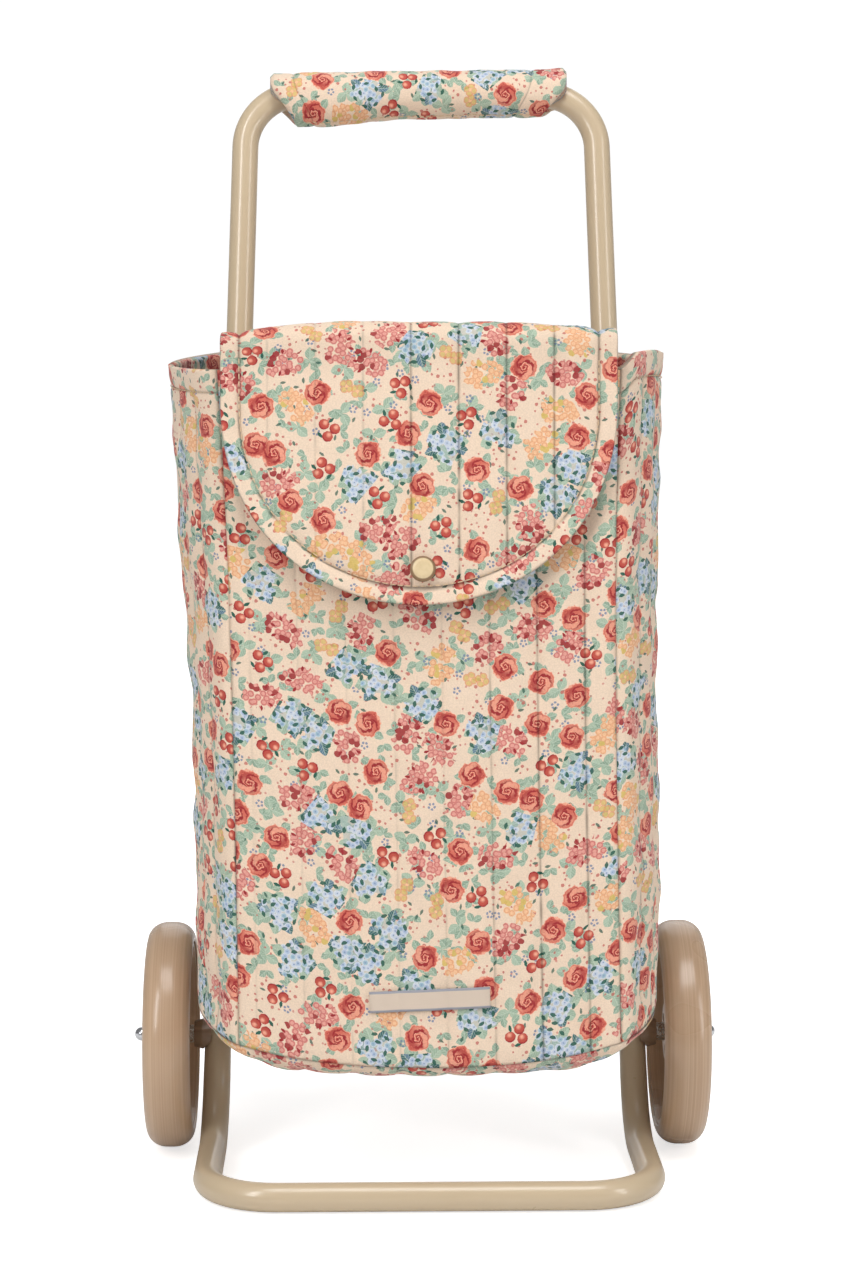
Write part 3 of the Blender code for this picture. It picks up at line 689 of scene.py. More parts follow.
def grid_normals(grid):
    normal = np.cross(np.gradient(grid, axis=1), np.gradient(grid, axis=0))
    return normal / np.linalg.norm(normal, axis=2, keepdims=True)


def run_along(path):
    """How far along a path each of its points lies."""
    return np.concatenate([[0], np.cumsum(np.linalg.norm(np.diff(path, axis=0), axis=1))])


def detailed(low, high, step, lines=(), near=(0.0, 0.0006, 0.0014, 0.0026)):
    """Places from low to high about a step apart, with more of them beside each line."""
    count = max(2, int(round((high - low) / step)))
    places = set(np.round(np.linspace(low, high, count + 1), 5))
    for line in lines:
        for gap in near:
            places |= {round(line - gap, 5), round(line + gap, 5)}
    places = sorted(p for p in places if low - 1e-9 <= p <= high + 1e-9)
    kept = [places[0]]
    for value in places[1:]:
        if value - kept[-1] > 0.0004:
            kept.append(value)
    kept[-1] = places[-1]
    return np.array(kept)


def gaps_to(x, lines):
    return np.abs(x[..., None] - np.asarray(lines))


def nearest_line(x, lines):
    return np.min(gaps_to(x, lines), axis=-1)


def pull_of(x, lines, pulls):
    """How tightly the stitches nearest to x are drawn, read from (places, tightness) across the panel."""
    nearest = np.asarray(lines)[np.argmin(gaps_to(x, lines), axis=-1)]
    return np.interp(nearest / np.max(np.abs(x)), *pulls)


def deepest(*layers):
    return np.maximum.reduce(np.broadcast_arrays(*layers))


def rounded_edge(distance, half):
    """How far in a face lies from a free edge that is rounded over half the thickness."""
    share = np.clip(distance / (1.3 * half), 0, 1)
    return half * (1 - np.sqrt(1 - (1 - share) ** 2))


def valley(distance, depth, reach):
    """How far cloth dips beside a stitched line: a sharp nick inside a soft hollow."""
    nick = 0.45 * np.exp(-distance / (0.3 * reach))
    return depth * (nick + 0.55 * np.exp(-((distance / (1.6 * reach)) ** 1.5)))


def shade_by(distance, amount, width):
    """Painted shade in the fold that a row of stitches pulls shut, darkest on the stitched line."""
    return amount * np.exp(-((distance / width) ** 2))


def smooth_bump(value, middle, width):
    return np.exp(-(((value - middle) / width) ** 2))


# ---------------- lines that several pieces share


def upright_x(z):
    return UPRIGHT_LOW_X - (z - UPRIGHT_LOW_Z) * UPRIGHT_TAPER


def upright_y(z):
    return AXLE_Y + (z - AXLE_Z) * tan(LEAN)


def upright_point(side, z):
    return Vector((side * upright_x(z), upright_y(z), z))


def bag_share(z):
    return np.clip((z - BAG_LOW_Z) / (RIM_FRONT_Z - BAG_LOW_Z), 0, None)


def bag_front_y(z):
    return FRONT_LOW_Y + (FRONT_TOP_Y - FRONT_LOW_Y) * np.minimum(bag_share(z), 1)


def bag_back_y(z):
    return upright_y(z) - BACK_GAP / cos(LEAN)


def bag_crown(x, z):
    near_rim = np.clip((RIM_FRONT_Z - z) / 0.08, 0, 1)
    return CROWN * near_rim * np.clip(1 - (x / SEAM_X) ** 2, 0, None)


def bag_sway(z):
    return BAG_SWAY * np.minimum(bag_share(z), 1)


def seam_x(z):
    return SEAM_X + (SEAM_TOP_X - SEAM_X) * bag_share(z) ** 4


def side_x(z):
    return SIDE_X + (SIDE_TOP_X - SIDE_X) * bag_share(z) ** 1.6


def wall_z(nominal_x, back_share, up):
    """Height in a wall that starts at the bottom seam, which rises towards the sides."""
    low = SEAM_FRONT_Z + SEAM_SIDE_RISE * (np.abs(nominal_x) / SIDE_X) ** 2.5
    return low + (RIM_FRONT_Z + (RIM_BACK_Z - RIM_FRONT_Z) * back_share - low) * up


def front_point(across, up, depth):
    z = wall_z(SEAM_X * across, 0.0, up)
    x = (seam_x(z) - depth) * across
    return points(x + bag_sway(z), bag_front_y(z) - bag_crown(x, z) + depth, z)


def back_point(across, up, depth):
    z = wall_z(SEAM_X * across, 1.0, up)
    return points(bag_sway(z) - (seam_x(z) - depth) * across, bag_back_y(z) - depth, z)


def side_point(side, back_share, up, depth):
    """Its rim is pushed up beside the lid on the right, and hangs a little on the left."""
    swell = np.sin(pi * np.clip(back_share, 0.0001, 0.9999)) ** SIDE_POWER
    z = wall_z(SEAM_X + (SIDE_X - SEAM_X) * swell, back_share, up)
    x = seam_x(z) - depth + (side_x(z) - seam_x(z)) * swell
    front = bag_front_y(z) + depth
    back = bag_back_y(z) - depth
    lifted = smooth_bump(back_share, 0.12, 0.35) * np.clip(back_share / 0.05, 0, 1)
    z = z + (RIM_LIFT * lifted if side > 0 else -RIM_DROOP * swell) * up**6
    return points(side * x + bag_sway(z), front + (back - front) * back_share, z)


def channel_lines(low, high, shift):
    """The quilt's channels that cross the panel, clear of its edges."""
    first = int((low - shift) / CHANNEL) - 1
    lines = [shift + CHANNEL * index for index in range(first, first + 40)]
    return [line for line in lines if low + 0.006 < line < high - 0.006]


BAG_LINES = channel_lines(-SEAM_X, SEAM_X, BODY_CHANNEL_SHIFT)
WALL = RIM_FRONT_Z - SEAM_FRONT_Z


# ---------------- stitches


def stitches(name, path, body):
    """Short raised threads laid end to end along a path of points."""
    path = np.asarray(path, float)
    run = run_along(path)
    vertices, faces = [], []
    rings = ((0.0, 0.25), (0.12, 0.85), (0.5, 1.0), (0.88, 0.85), (1.0, 0.25))
    sides = 6
    for start in np.arange(STITCH_PITCH / 2, run[-1] - STITCH, STITCH_PITCH):
        places = [start + STITCH * share for share, _ in rings]
        spots = np.stack([np.interp(places, run, path[:, axis]) for axis in range(3)], axis=-1)
        direction = Vector(spots[-1] - spots[0]).normalized()
        side = direction.orthogonal().normalized()
        other = direction.cross(side)
        faces += round_faces(len(rings), sides, len(vertices))
        for spot, (_, swell) in zip(spots, rings):
            for angle in np.arange(sides) * (2 * pi / sides):
                vertices.append(Vector(spot) + (side * cos(angle) + other * sin(angle)) * THREAD_R * swell)
    place(new_piece(name, vertices, faces, "thread"), body, "quilt")


# ---------------- the bag's quilted panels


def quilt(name, point, across, up, width, lines, seed, shift, pulls, swell=None):
    """A wall panel: point(across, up, depth) gives its faces, and lines are its stitched channels, in metres."""
    share, rise = np.meshgrid(across, up)
    x = share * width
    z = rise * WALL
    outer = point(share, rise, 0.0)
    line = nearest_line(x, lines)
    side_seam = np.minimum(x - x.min(), x.max() - x)
    low_seam = z - z.min()
    from_rim = z.max() - z
    hem = np.abs(from_rim - HEM)
    below_hem = from_rim > HEM
    tight = pull_of(x, lines, pulls)
    pull = tight * (1 + 0.3 * waves(x, z, 0.030, seed + 5))
    dip = deepest(
        np.where(below_hem, valley(line, 0.0029, 0.0042), valley(line, 0.0008, 0.0030)) * pull,
        valley(hem, 0.0020, 0.0018),
        valley(side_seam, 0.0028, 0.0032),
        valley(low_seam, 0.0028, 0.0030),
    )
    soft = 0.5 + 0.5 * waves(x, z, 0.060, seed)
    small = 0.5 + 0.5 * waves(x * 0.7, z, 0.017, seed + 1)
    free = np.exp(-np.minimum(side_seam, low_seam) / 0.02)
    pucker = waves(x * 0.4, z, 0.0075, seed + 3) * np.exp(-line / 0.0045)
    dip = dip + (0.0009 * soft + 0.0006 * small) * (1 - free) + 0.0004 * (1 + pucker)
    rounding = rounded_edge(from_rim, PANEL / 2)
    dip = deepest(np.minimum(dip, PANEL - CLEAR_WALL), rounding)
    back_dip = deepest(valley(line, 0.0006, 0.0030), valley(hem, 0.0006, 0.0014), rounding)
    if swell is not None:
        bulge = swell(x, z) * (1 - free)
        dip = dip - bulge
        back_dip = back_dip + bulge
    # Painted shade: darker colour along the channel seams below the hem, the hem line, the side seams and the bottom
    # seam.
    channel_shade = np.where(below_hem, shade_by(line, 0.85, 0.0007), 0)
    painted_shade = deepest(
        channel_shade * (0.75 + 0.25 * waves(x, z, 0.012, seed + 7)) * tight,
        shade_by(hem, 0.6, 0.0007),
        shade_by(side_seam, 0.65, 0.0010) * (0.8 + 0.3 * waves(x, z, 0.03, seed + 9)),
        shade_by(low_seam, 0.9, 0.0010),
    )
    normal = grid_normals(outer)
    inner = point(share, rise, PANEL) + normal * back_dip[..., None]
    cloth = points(x + shift, z, 0.0)
    return skin(name, outer - normal * dip[..., None], inner, cloth, "quilt", np.clip(painted_shade, 0, 1))


def hem_path(point, across):
    """A line of points along a panel's hem, at the bottom of its groove."""
    return point(across, np.full_like(across, 1 - HEM / WALL), 0.0020)


def make_walls():
    rows = detailed(0.0, WALL, 0.0032, [0.0, WALL - HEM])
    edge = [WALL - gap for gap in (0.0, 0.0005, 0.0010, 0.0016, 0.0024)]
    up = np.array(sorted(set(rows[rows < WALL - 0.0028]) | set(edge))) / WALL
    across = detailed(-SEAM_X, SEAM_X, 0.0021, [*BAG_LINES, -SEAM_X, SEAM_X]) / SEAM_X
    front = quilt("bag_front_quilt", front_point, across, up, SEAM_X, BAG_LINES, 11, 0.0, FRONT_PULL)
    place(front, "trolley", "quilt", "bag_front")
    back = quilt("bag_back_quilt", back_point, across, up, SEAM_X, BAG_LINES, 21, 0.411, EVEN_PULL)
    place(back, "trolley", "quilt", "bag_back")
    make_side("left", -1, 31, up)
    make_side("right", 1, 41, up)
    across = np.linspace(-0.985, 0.985, 300)
    stitches("hem_stitch_front", hem_path(front_point, across), "trolley")
    stitches("hem_stitch_back", hem_path(back_point, across), "trolley")


def make_side(name, side, seed, up):
    """A side panel. Its columns are evenly spaced along the cloth, which swells out between the seams."""
    fine = np.linspace(0.0, 1.0, 2001)
    length = run_along(side_point(1, fine, np.full_like(fine, 0.5), 0.0))
    total = float(length[-1])
    lines = [total * index / 7 for index in range(1, 7)]
    places = detailed(0.0, total, 0.0024, [*lines, 0.0, total])
    if side < 0:
        places = total - places[::-1]

    def point(share, rise, depth):
        along = share if side > 0 else 1 - share
        return side_point(side, np.interp(along * total, length, fine), rise, depth)

    def swell(x, z):
        """Sideways ripples, and a fuller lower half on the right or a slack middle on the left."""
        fade = np.clip((WALL - HEM - z) / 0.05, 0, 1)
        ripple = 0.0009 * waves(x * 0.3, z, 0.034, seed + 11) * fade
        if side > 0:
            return ripple + 0.0022 * smooth_bump(z, 0.085, 0.075)
        return ripple - 0.0018 * smooth_bump(z, 0.150, 0.070)

    shift = 0.19 if side > 0 else -0.19 - total
    panel = quilt("bag_side_%s_quilt" % name, point, places / total, up, total, lines, seed, shift, EVEN_PULL, swell)
    place(panel, "trolley", "quilt", "bag_side_" + name)
    hem = hem_path(lambda back_share, rise, depth: side_point(side, back_share, rise, depth), fine[20:-20:5])
    stitches("hem_stitch_" + name, hem, "trolley")


def bottom_ring(depth, count=44):
    """The seam round the bag's bottom, anticlockwise from above."""
    shares = (1 - np.cos(pi * (np.arange(count) + 0.5) / count)) / 2
    across = np.linspace(-1, 1, count)
    low = np.zeros(count)
    ring = [front_point(across, low, depth), side_point(1, shares, low, depth)]
    ring += [back_point(across, low, depth), side_point(-1, shares[::-1], low, depth)]
    return np.concatenate(ring)


def make_bottom():
    """The bottom panel: a shallow quilted dish that curls up to the seam, its rows from the middle out."""
    edge_rows = 1 - np.array([0.17, 0.13, 0.10, 0.07, 0.045, 0.025, 0.01, 0.0])
    share = np.concatenate([np.linspace(0.02, 0.8, 22), edge_rows])[:, None]
    grids = []
    for depth in (0.0, PANEL):
        x, y, z = bottom_ring(depth).T
        low = BAG_LOW_Z + depth
        grids.append(points(x * share, y.mean() + (y - y.mean()) * share, low + (z - 0.0003 - low) * share**5))
    outer, inner = grids
    x, y = outer[..., 0], outer[..., 1]
    line = nearest_line(x, channel_lines(-SIDE_X, SIDE_X, BODY_CHANNEL_SHIFT))
    normal = grid_normals(outer)
    normal = normal * np.where(normal[..., 2:] > 0, -1, 1)
    near_seam = np.linalg.norm(outer - outer[-1:], axis=-1)
    dip = deepest(valley(line, 0.0018, 0.003), valley(near_seam, 0.002, 0.0028))
    dip = dip + 0.0006 * (0.5 + 0.5 * waves(x, y, 0.04, 51))
    # Painted shade along the channels and round the bottom seam.
    painted_shade = deepest(shade_by(line, 0.5, 0.00055), shade_by(near_seam, 0.8, 0.0009)).ravel()
    cloth = points(x, y + 0.9, 0.0).reshape(-1, 3)
    index = numbered(outer)
    last = index.size + index[0, ::-1]
    panel = shell(
        "bag_bottom_quilt", outer - normal * dip[..., None], inner, grid_faces(index, True), [index[-1]],
        "quilt", (cloth, cloth + (0.3, 0, 0)), (painted_shade, painted_shade), [index[0].tolist(), last.tolist()],
    )
    place(panel, "trolley", "quilt", "bag_bottom")


# ---------------- the lid


def lid_line():
    """The lid's outer face in side view, from its back end over the fold and down the front: (length, y, z)."""
    share = np.linspace(0, 1, 60, endpoint=False)
    angle = np.linspace(0, pi / 2, 16, endpoint=False)
    height = np.linspace(FOLD_Z, FLAP_TIP_Z, 70)
    y = np.concatenate([
        FLAP_BACK_Y + (FOLD_Y - FLAP_BACK_Y) * share,
        FOLD_Y - FOLD_R * np.sin(angle),
        bag_front_y(height) - FLAP_GAP - FLAP,
    ])
    z = np.concatenate([
        FLAP_BACK_Z + (FLAP_CREST_Z - FLAP_BACK_Z) * share,
        FOLD_Z + FOLD_R * np.cos(angle),
        height,
    ])
    return run_along(np.stack([y, z], axis=-1)), y, z


def lid_edge_distance(x, along, side_end, tip):
    """Distance in from the lid's outline: straight sides, then a round lower edge."""
    straight = FLAP_HALF - np.abs(x)
    drop = np.clip((along - side_end) / (tip - side_end), 0, None)
    share = np.abs(x) / FLAP_HALF
    level = 1 - share**2 - drop**LID_CURVE
    slope = np.hypot(2 * share / FLAP_HALF, LID_CURVE * drop ** (LID_CURVE - 1) / (tip - side_end))
    curved = level / np.maximum(slope, 1e-6)
    return np.maximum(np.where(along > side_end, np.minimum(straight, curved), straight), 0)


def lid_surface(x, along, line, depth):
    """A point of the lid at x across and along its length, that deep under its outer face."""
    length, y, z = line
    there_y, there_z = np.interp(along, length, y), np.interp(along, length, z)
    tangent_y = np.interp(along, length, np.gradient(y, length))
    tangent_z = np.interp(along, length, np.gradient(z, length))
    size = np.hypot(tangent_y, tangent_z)
    on_front = np.clip((FOLD_Z - there_z) / 0.02, 0, 1)
    on_top = np.clip((there_z - FOLD_Z + 0.01) / 0.02, 0, 1)
    side_drop = np.where(x < 0, 0.0055, 0.0030) * (np.abs(x) / FLAP_HALF) ** 2.4
    return points(
        x + bag_sway(RIM_FRONT_Z),
        there_y - tangent_z / size * depth - bag_crown(x, there_z) * on_front,
        there_z + tangent_y / size * depth - side_drop * on_top,
    )


def make_lid():
    """The lid: a channelled panel inside a topstitched band, folded over the bag's front rim."""
    line = lid_line()
    length, _, z = line
    crest = length[np.argmax(z)]
    front = length > crest
    side_end = float(np.interp(-FLAP_SIDE_END_Z, -z[front], length[front]))
    tip = float(length[-1])
    lines = channel_lines(-FLAP_HALF + 0.012, FLAP_HALF - 0.012, LID_CHANNEL_SHIFT)
    columns = detailed(-FLAP_HALF, FLAP_HALF, 0.0021, [*lines, FLAP_HALF - FLAP_BAND, -FLAP_HALF + FLAP_BAND])
    edge = [FLAP_HALF * sin(radians(angle)) for angle in (76, 79, 82, 84.5, 87, 89)]
    inside = columns[np.abs(columns) < FLAP_HALF * sin(radians(75))]
    columns = np.array(sorted([*inside, *edge, *[-value for value in edge], -FLAP_HALF, FLAP_HALF]))
    round_share = np.clip(1 - (np.abs(columns) / FLAP_HALF) ** 2, 0, 1) ** (1 / LID_CURVE)
    reach = side_end + (tip - side_end) * round_share
    rows = np.linspace(0, 1, 96)
    edge_rows = 1 - np.array([0.0, 0.0018, 0.0040, 0.0075, 0.0115, 0.0300, 0.0340, 0.0380])
    rows = np.array(sorted(set(np.round(np.concatenate([rows[rows < 0.985], edge_rows]), 5))))
    along = rows[:, None] * reach[None, :]
    x = np.broadcast_to(columns, along.shape).copy()
    edge_distance = lid_edge_distance(x, along, side_end, tip)
    stitched = nearest_line(x, lines)
    inner_area = edge_distance > FLAP_BAND
    band = np.abs(edge_distance - FLAP_BAND)
    tight = pull_of(x, lines, LID_PULL)
    taut = 1 - 0.8 * smooth_bump(along, crest, 0.028)
    pull = tight * taut * (1 + 0.3 * waves(x, along, 0.035, 65))
    dip = deepest(np.where(inner_area, valley(stitched, 0.0031, 0.0042), 0) * pull, valley(band, 0.0028, 0.0026))
    pucker = waves(x * 0.4, along, 0.0075, 63) * np.exp(-np.minimum(stitched, band) / 0.0045)
    dip = dip + 0.0010 * (0.5 + 0.5 * waves(x, along, 0.05, 61)) + 0.00045 * (1 + pucker)
    # Painted shade along the channel seams, round the lid's edge and along the band's stitching.
    uneven = 0.75 + 0.25 * waves(x, along, 0.012, 67)
    painted_shade = deepest(
        np.where(inner_area, shade_by(stitched, 0.9, 0.0007), 0) * uneven * tight,
        shade_by(edge_distance, 0.6, 0.0006),
        shade_by(band, 0.8, 0.0007),
    )
    rounding = rounded_edge(edge_distance, FLAP / 2)
    under = deepest(np.where(inner_area, valley(stitched, 0.0006, 0.003), 0), rounding)
    dip = deepest(np.minimum(dip, FLAP - CLEAR_LID), rounding)
    outer = lid_surface(x, along, line, dip)
    inner = lid_surface(x, along, line, FLAP - under)
    cloth = points(x + 0.62, 0.33 - along, 0.0)
    lid = skin("lid_quilt", outer[::-1], inner[::-1], cloth[::-1], "quilt", np.clip(painted_shade, 0, 1)[::-1])
    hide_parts("flap_top", "flap_front")
    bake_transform(lid)
    make_lid_stitches(line, side_end, tip)
    make_back_fold()


def make_lid_stitches(line, side_end, tip):
    """Topstitching along the band of the lid's front."""
    half = FLAP_HALF - FLAP_BAND
    down = np.arange(TOPSTITCH_START, side_end, 0.0006)
    up = np.arange(side_end, TOPSTITCH_START, -0.0006)
    turn = np.linspace(-pi / 2, pi / 2, 500)
    drop = np.clip(np.cos(turn), 0, None) ** (2 / LID_CURVE)
    x = np.concatenate([np.full_like(down, -half), half * np.sin(turn), np.full_like(up, half)])
    along = np.concatenate([down, side_end + (tip - FLAP_BAND - side_end) * drop, up])
    stitches("lid_topstitch", lid_surface(x, along, line, 0.0026), "lid_front")


def make_back_fold():
    """The strip of quilt that joins the lid to the back rim, bent over the hinge line."""
    half = FLAP_HALF - 0.0010
    share, x = np.meshgrid(np.linspace(0, 1, 15), np.linspace(-half, half, 60), indexing="ij")
    angle = np.radians(-100 + 195 * share)
    grids = [
        points(
            x + bag_sway(RIM_FRONT_Z),
            HINGE_Y + radius_y * np.cos(angle) + uneven * waves(x, share * 0.02, 0.02, 71),
            HINGE_Z - 0.0005 + radius_z * np.sin(angle),
        )
        for radius_y, radius_z, uneven in ((0.0046, 0.0058, 0.0002), (0.0024, 0.0030, 0.0))
    ]
    cloth = points(0.1 - grids[0][..., 0], grids[0][..., 2] + 0.2, 0.0)
    piece = skin("lid_back_fold", *grids, cloth, "quilt")
    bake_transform(piece)


# ---------------- frame tubes, grip and turned pieces


def rounded_path(corners, radius, steps=24):
    path = [corners[0]]
    for before, corner, after in zip(corners, corners[1:], corners[2:]):
        arriving = (corner - before).normalized()
        leaving = (after - corner).normalized()
        turn = arriving.angle(leaving)
        start = corner - arriving * radius * tan(turn / 2)
        inward = (leaving - arriving * arriving.dot(leaving)).normalized()
        for step in range(steps + 1):
            angle = turn * step / steps
            path.append(start + arriving * radius * sin(angle) + inward * radius * (1 - cos(angle)))
    return path + [corners[-1]]


def tube(name, path, radii, material, sides=40):
    """A round solid swept along a path without twist, with a radius for each point."""
    tangents = [(after - before).normalized() for before, after in zip([path[0], *path], [*path[1:], path[-1]])]
    side = tangents[0].orthogonal().normalized()
    vertices = []
    for spot, radius, tangent in zip(path, radii, tangents):
        side = (side - tangent * side.dot(tangent)).normalized()
        other = tangent.cross(side)
        for angle in np.arange(sides) * (2 * pi / sides):
            vertices.append(spot + (side * cos(angle) + other * sin(angle)) * radius)
    return new_piece(name, vertices, round_faces(len(path), sides), material)


def make_frame():
    """The handle, whose ends are rounded off over the sockets, and the base."""
    shoulder, socket = SOCKET_TOP_Z + 0.0004, SOCKET_TOP_Z - 0.0002
    sides = [[upright_point(side, z) for z in (shoulder, HANDLE_Z)] for side in (-1, 1)]
    path = rounded_path([*sides[0], *reversed(sides[1])], HANDLE_BEND_R)
    rounding = [(0.0, 0.0060), (0.0006, 0.0067), (0.0012, TUBE_R)]
    start = [path[0] + (path[1] - path[0]).normalized() * gap for gap, _ in rounding]
    finish = [path[-1] + (path[-2] - path[-1]).normalized() * gap for gap, _ in reversed(rounding)]
    radii = [radius for _, radius in rounding]
    radii = [*radii, *[TUBE_R] * (len(path) - 2), *reversed(radii)]
    piece = tube("handle_tube_round", [*start, *path[1:-1], *finish], radii, "paint")
    place(piece, "trolley", "tube_paint", "handle_tube")
    front_x = upright_x(TUBE_R)
    sides = [[upright_point(side, socket), upright_point(side, TUBE_R)] for side in (-1, 1)]
    front = [Vector((side * front_x, BASE_FRONT_Y, TUBE_R)) for side in (-1, 1)]
    path = rounded_path([*sides[0], *front, *reversed(sides[1])], FLOOR_BEND_R)
    radii = [TUBE_R - 0.0005, *[TUBE_R] * (len(path) - 2), TUBE_R - 0.0005]
    place(tube("base_tube_round", path, radii, "paint"), "trolley", "tube_paint", "base_tube")


def make_grip():
    """The grip cover: a straight quilted sleeve, lapped along its underside and cut slanting at both ends."""
    sides = 96
    seam_shares = [0.078, 0.88]
    run = detailed(0.0, 1.0, 0.012, seam_shares, (0.0, 0.004, 0.009, 0.016))
    turns = np.linspace(0, 2 * pi, sides, endpoint=False)
    share, past_lap = np.meshgrid(run, turns, indexing="ij")
    angle = past_lap + radians(262)
    low = (1 - np.sin(angle)) / 2
    left = GRIP_LEFT + 0.0130 * low**2.6
    right = GRIP_RIGHT - 0.0120 * low**3.0
    x = left + (right - left) * share
    round_it = past_lap * GRIP_R
    seams = nearest_line(share, seam_shares) * (GRIP_RIGHT - GRIP_LEFT)
    ends = np.minimum(share, 1 - share) * (GRIP_RIGHT - GRIP_LEFT)
    sag = np.clip((-0.010 - x) / 0.046, 0, 1)
    sag = sag * sag * (3 - 2 * sag) * np.clip(-np.sin(angle), 0, 1) ** 2
    lap = np.clip(past_lap / radians(5), 0, 1) * np.clip((radians(90) - past_lap) / radians(70), 0, 1)
    lap_stitch = np.abs(past_lap - radians(LAP_STITCH)) * GRIP_R
    radius = GRIP_R + 0.0036 * sag + 0.0012 * lap - valley(seams, 0.0009, 0.0014) - valley(lap_stitch, 0.0006, 0.0012)
    radius = radius + 0.00035 * waves(x, round_it, 0.022, 81) + 0.0002 * waves(x, round_it, 0.008, 83)
    straight = upright_x(HANDLE_Z) - HANDLE_BEND_R
    bend = np.clip((np.abs(x) - straight) / HANDLE_BEND_R, 0, 0.99)
    drop = HANDLE_BEND_R * (1 - np.sqrt(1 - bend**2))

    def ring(radius, lift):
        out, high = radius * np.cos(angle), radius * np.sin(angle) + lift
        y = upright_y(HANDLE_Z) - out * cos(LEAN) + high * sin(LEAN)
        return points(x, y, HANDLE_Z + out * sin(LEAN) + high * cos(LEAN))

    outer = ring(radius - rounded_edge(ends, 0.0020), 0.0165 * x)
    inner = ring(TUBE_R + 0.0004 + 0.0006 * bend + rounded_edge(ends, 0.0014), -drop)
    cloth = points(x + 1.4, round_it, 0.0).reshape(-1, 3)
    # Painted shade along the two cross seams and along the edge of the lap.
    painted_shade = deepest(shade_by(seams, 0.5, 0.00055), shade_by(round_it, 0.85, 0.0008)).ravel()
    index = numbered(outer)
    faces = grid_faces(index, True)[:, [0, 3, 2, 1]]
    cloths, rims = (cloth, cloth + (0.2, 0, 0)), [index[0], index[-1, ::-1]]
    piece = shell("grip_cover_quilt", outer, inner, faces, rims, "quilt", cloths, (painted_shade, painted_shade))
    place(piece, "trolley", "quilt", "grip_cover")
    column = round(LAP_STITCH / 360 * sides)
    stitches("grip_stitch", outer[3:-3, column] - (0, 0.0001, 0.0002), "trolley")


def lathe(name, profile, matrix, material, steps):
    """A closed profile of (radius, height) points, anticlockwise, turned about the matrix's Z axis."""
    vertices = [
        matrix @ Vector((radius * cos(angle), radius * sin(angle), height))
        for angle in np.arange(steps) * (2 * pi / steps)
        for radius, height in profile
    ]
    index = np.arange(len(vertices)).reshape(steps, -1)
    after = np.roll(index, -1, axis=0)
    faces = np.stack([index, after, np.roll(after, -1, axis=1), np.roll(index, -1, axis=1)], axis=-1)
    return new_piece(name, vertices, faces.reshape(-1, 4).tolist(), material)


def arc(centre_r, centre_h, radius_r, radius_h, start, end, steps):
    """Points of an elliptic arc in the (radius, height) plane, angles in degrees from the radius axis."""
    angles = [radians(start + (end - start) * step / steps) for step in range(steps + 1)]
    return [(centre_r + radius_r * cos(angle), centre_h + radius_h * sin(angle)) for angle in angles]


def make_tyres():
    """Glossy round-shouldered tyres."""
    low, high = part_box("tyre_right")[0][0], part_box("tyre_right")[1][0]
    shoulder = (0.0085, 0.0100)
    from_tread = AXLE_Z - shoulder[0]
    corner = 0.0010
    profile = [(TYRE_SEAT_R, low + corner)]
    profile += arc(TYRE_SEAT_R + corner, low + corner, corner, corner, 180, 270, 4)
    profile += arc(from_tread, low + shoulder[1], *shoulder, -90, 0, 12)
    profile += arc(from_tread, high - shoulder[1], *shoulder, 0, 90, 12)
    profile += arc(TYRE_SEAT_R + corner, high - corner, corner, corner, 90, 180, 4)
    for name, side in (("left", -1), ("right", 1)):
        matrix = Matrix.Translation((0, AXLE_Y, AXLE_Z)) @ Matrix.Rotation(side * pi / 2, 4, "Y")
        tyre = lathe("tyre_%s_tread" % name, profile, matrix, "wheel", 144)
        place(tyre, name + "_wheel", "wheel_plastic", "tyre_" + name)


def dress(node, material):
    """Gives a CAD node that keeps its shape its finished material and fine edges."""
    obj = frame["nodes"][node]
    obj.data.materials.clear()
    obj.data.materials.append(MATERIALS[material])
    bevel = obj.modifiers.new("edges", "BEVEL")
    bevel.width = 0.00025
    bevel.segments = 2
    bevel.limit_method = "ANGLE"
    bevel.angle_limit = radians(40)


def make_hardware():
    for side in ("left", "right"):
        for node, material in (
            ("wheel_%s", "wheel"),
            ("axle_boss_%s", "boss"),
            ("axle_sleeve_%s", "steel"),
            ("washer_%s", "steel"),
            ("cap_nut_%s", "chrome"),
            ("strap_upper_%s", "thread"),
            ("strap_lower_%s", "thread"),
            ("strap_upper_%s_stud", "enamel"),
            ("strap_lower_%s_stud", "enamel"),
        ):
            dress(node % side, material)
    for node in ("axle_rod", "snap_socket", "snap_stud", "snap_backing"):
        dress(node, "steel")
    dress("snap_cap", "enamel")


def make_label():
    """A plain woven label sewn low on the front."""
    low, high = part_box("label")
    centre_x, _, centre_z = [(a + b) / 2 for a, b in zip(low, high)]
    tilt = radians(2.2)
    width, height = 0.0575, 0.0100
    u, v = np.meshgrid(np.linspace(-width / 2, width / 2, 60), np.linspace(-height / 2, height / 2, 14))
    x = centre_x + u * cos(tilt) - v * sin(tilt)
    z = centre_z + u * sin(tilt) + v * cos(tilt)
    nominal = x - bag_sway(z)
    sag = 0.0006 * np.exp(-nearest_line(nominal, BAG_LINES) / 0.004)
    y = bag_front_y(z) - bag_crown(nominal, z) + 0.0004 + sag + 0.0001 * waves(u, v, 0.01, 91)
    edge = np.maximum(np.minimum(width / 2 - np.abs(u), height / 2 - np.abs(v)), 0)
    outer = points(x, y - 0.0007 + rounded_edge(edge, 0.00035), z)
    inner = points(x, y - rounded_edge(edge, 0.00030), z)
    place(skin("label_woven", outer, inner, points(u, v, 0.0), "label"), "trolley", "woven_label", "label")


# ---------------- floor, light and camera


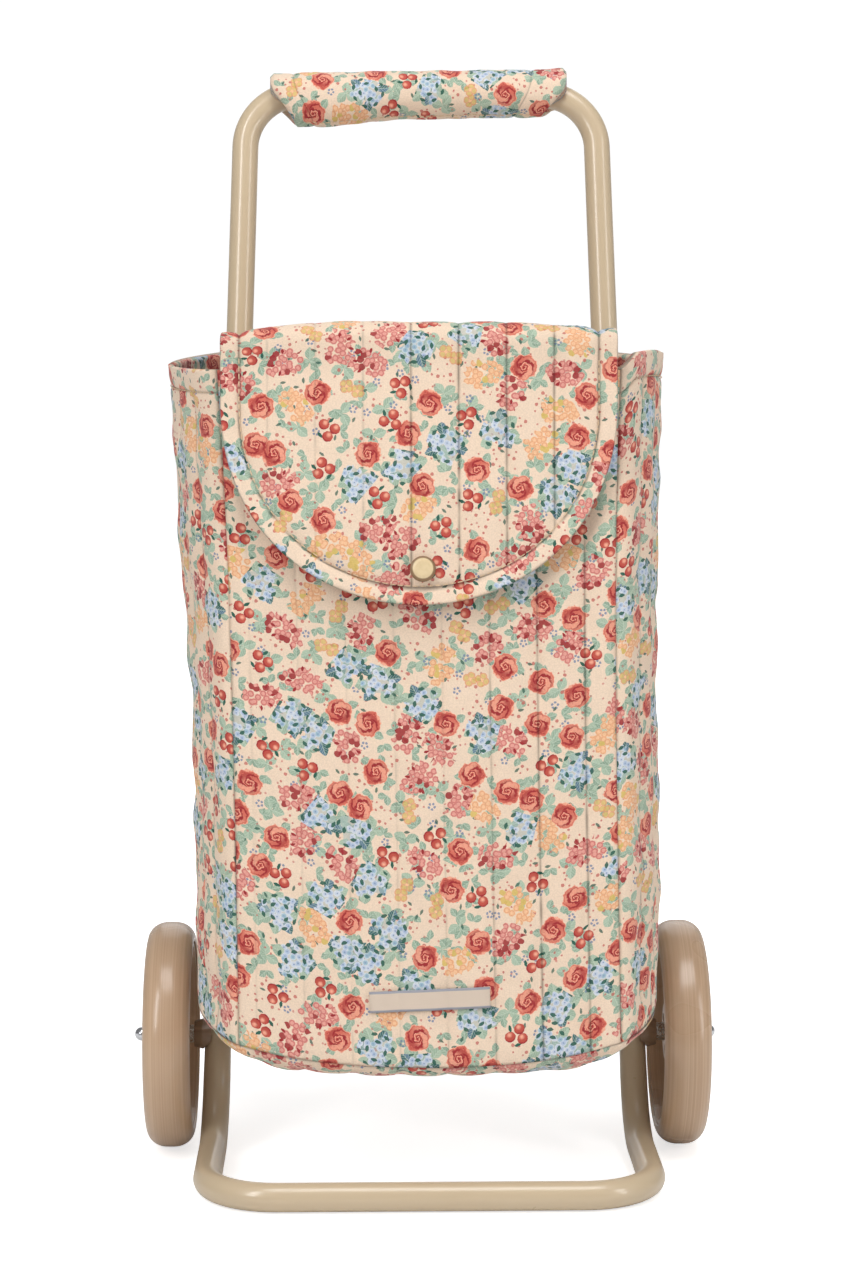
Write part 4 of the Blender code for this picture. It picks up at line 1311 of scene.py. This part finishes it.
def make_floor():
    bpy.ops.mesh.primitive_plane_add(size=12.0, location=(0, 0, -0.0005))
    floor = bpy.context.object
    floor.name = "floor"
    graph = Graph("floor")
    glow = graph.band(graph.length(graph.place()), 0.25, 1.3, 0.67, 0.95)
    seen = graph.node("ShaderNodeLightPath").outputs["Is Camera Ray"]
    graph.surface(
        Base_Color=(0.9, 0.9, 0.9, 1.0),
        Roughness=0.9,
        Emission_Color=(1.0, 1.0, 1.0, 1.0),
        Emission_Strength=graph.times(glow, seen),
    )
    floor.data.materials.append(graph.material)


def make_world():
    """A studio: a white background to look at, and dim grey walls to light and reflect."""
    world = bpy.data.worlds.new("studio")
    world.use_nodes = True
    nodes, links = world.node_tree.nodes, world.node_tree.links
    place = nodes.new("ShaderNodeTexCoord")
    split = nodes.new("ShaderNodeSeparateXYZ")
    ramp = nodes.new("ShaderNodeValToRGB")
    seen = nodes.new("ShaderNodeMix")
    links.new(place.outputs["Generated"], split.inputs[0])
    links.new(split.outputs["Y"], ramp.inputs["Fac"])
    links.new(nodes.new("ShaderNodeLightPath").outputs["Is Camera Ray"], seen.inputs["Factor"])
    links.new(ramp.outputs["Color"], seen.inputs["A"])
    links.new(seen.outputs["Result"], nodes["Background"].inputs["Strength"])
    seen.inputs["B"].default_value = 1.02
    nodes["Background"].inputs["Color"].default_value = (1.0, 1.0, 1.0, 1.0)
    ramp.color_ramp.interpolation = "EASE"
    tones = ((0.0, 0.24), (0.4, 0.20), (0.8, 0.34), (1.0, 0.50))
    while len(ramp.color_ramp.elements) < len(tones):
        ramp.color_ramp.elements.new(0.5)
    for element, (spot, tone) in zip(ramp.color_ramp.elements, tones):
        element.position = spot
        element.color = (tone, tone, tone, 1.0)
    bpy.context.scene.world = world


def make_lamps():
    """Soft boxes: tall ones to the left and right of the camera, a wide one above and a weak one behind."""
    lamps = (
        ("key", (-1.2, -1.6, 1.4), (0.45, 1.6), 23.5),
        ("above", (0.2, -0.7, 2.3), (1.5, 1.1), 28.0),
        ("fill", (1.6, -1.1, 0.8), (0.35, 1.4), 10.0),
        ("rear", (0.2, 2.0, 1.3), (1.6, 1.6), 6.0),
    )
    for name, spot, (width, height), power in lamps:
        data = bpy.data.lights.new(name, "AREA")
        data.shape = "RECTANGLE"
        data.size, data.size_y = width, height
        data.energy = power
        lamp = bpy.data.objects.new(name, data)
        lamp.location = spot
        aim = Vector((0, 0, 0.25)) - Vector(spot)
        lamp.rotation_euler = aim.to_track_quat("-Z", "Y").to_euler()
        bpy.context.scene.collection.objects.link(lamp)


def make_camera():
    """The view: from the front at the rim's height, a little down and to the right."""
    data = bpy.data.cameras.new("camera")
    data.lens = 82.16
    data.sensor_width = 36.0
    data.shift_x = 0.0016
    camera = bpy.data.objects.new("camera", data)
    yaw = radians(1.27)
    distance = 1.492
    camera.location = (-distance * sin(yaw), AXLE_Y - distance * cos(yaw), 0.411)
    turn = Matrix.Rotation(-yaw, 4, "Z") @ Matrix.Rotation(radians(90 - 5.72), 4, "X")
    camera.rotation_euler = turn.to_euler()
    bpy.context.scene.collection.objects.link(camera)
    bpy.context.scene.camera = camera


make_floor()
make_world()
make_lamps()
make_camera()
bpy.context.scene.view_settings.view_transform = "Standard"
make_walls()
make_bottom()
make_lid()
make_label()
make_frame()
make_grip()
make_tyres()
make_hardware()
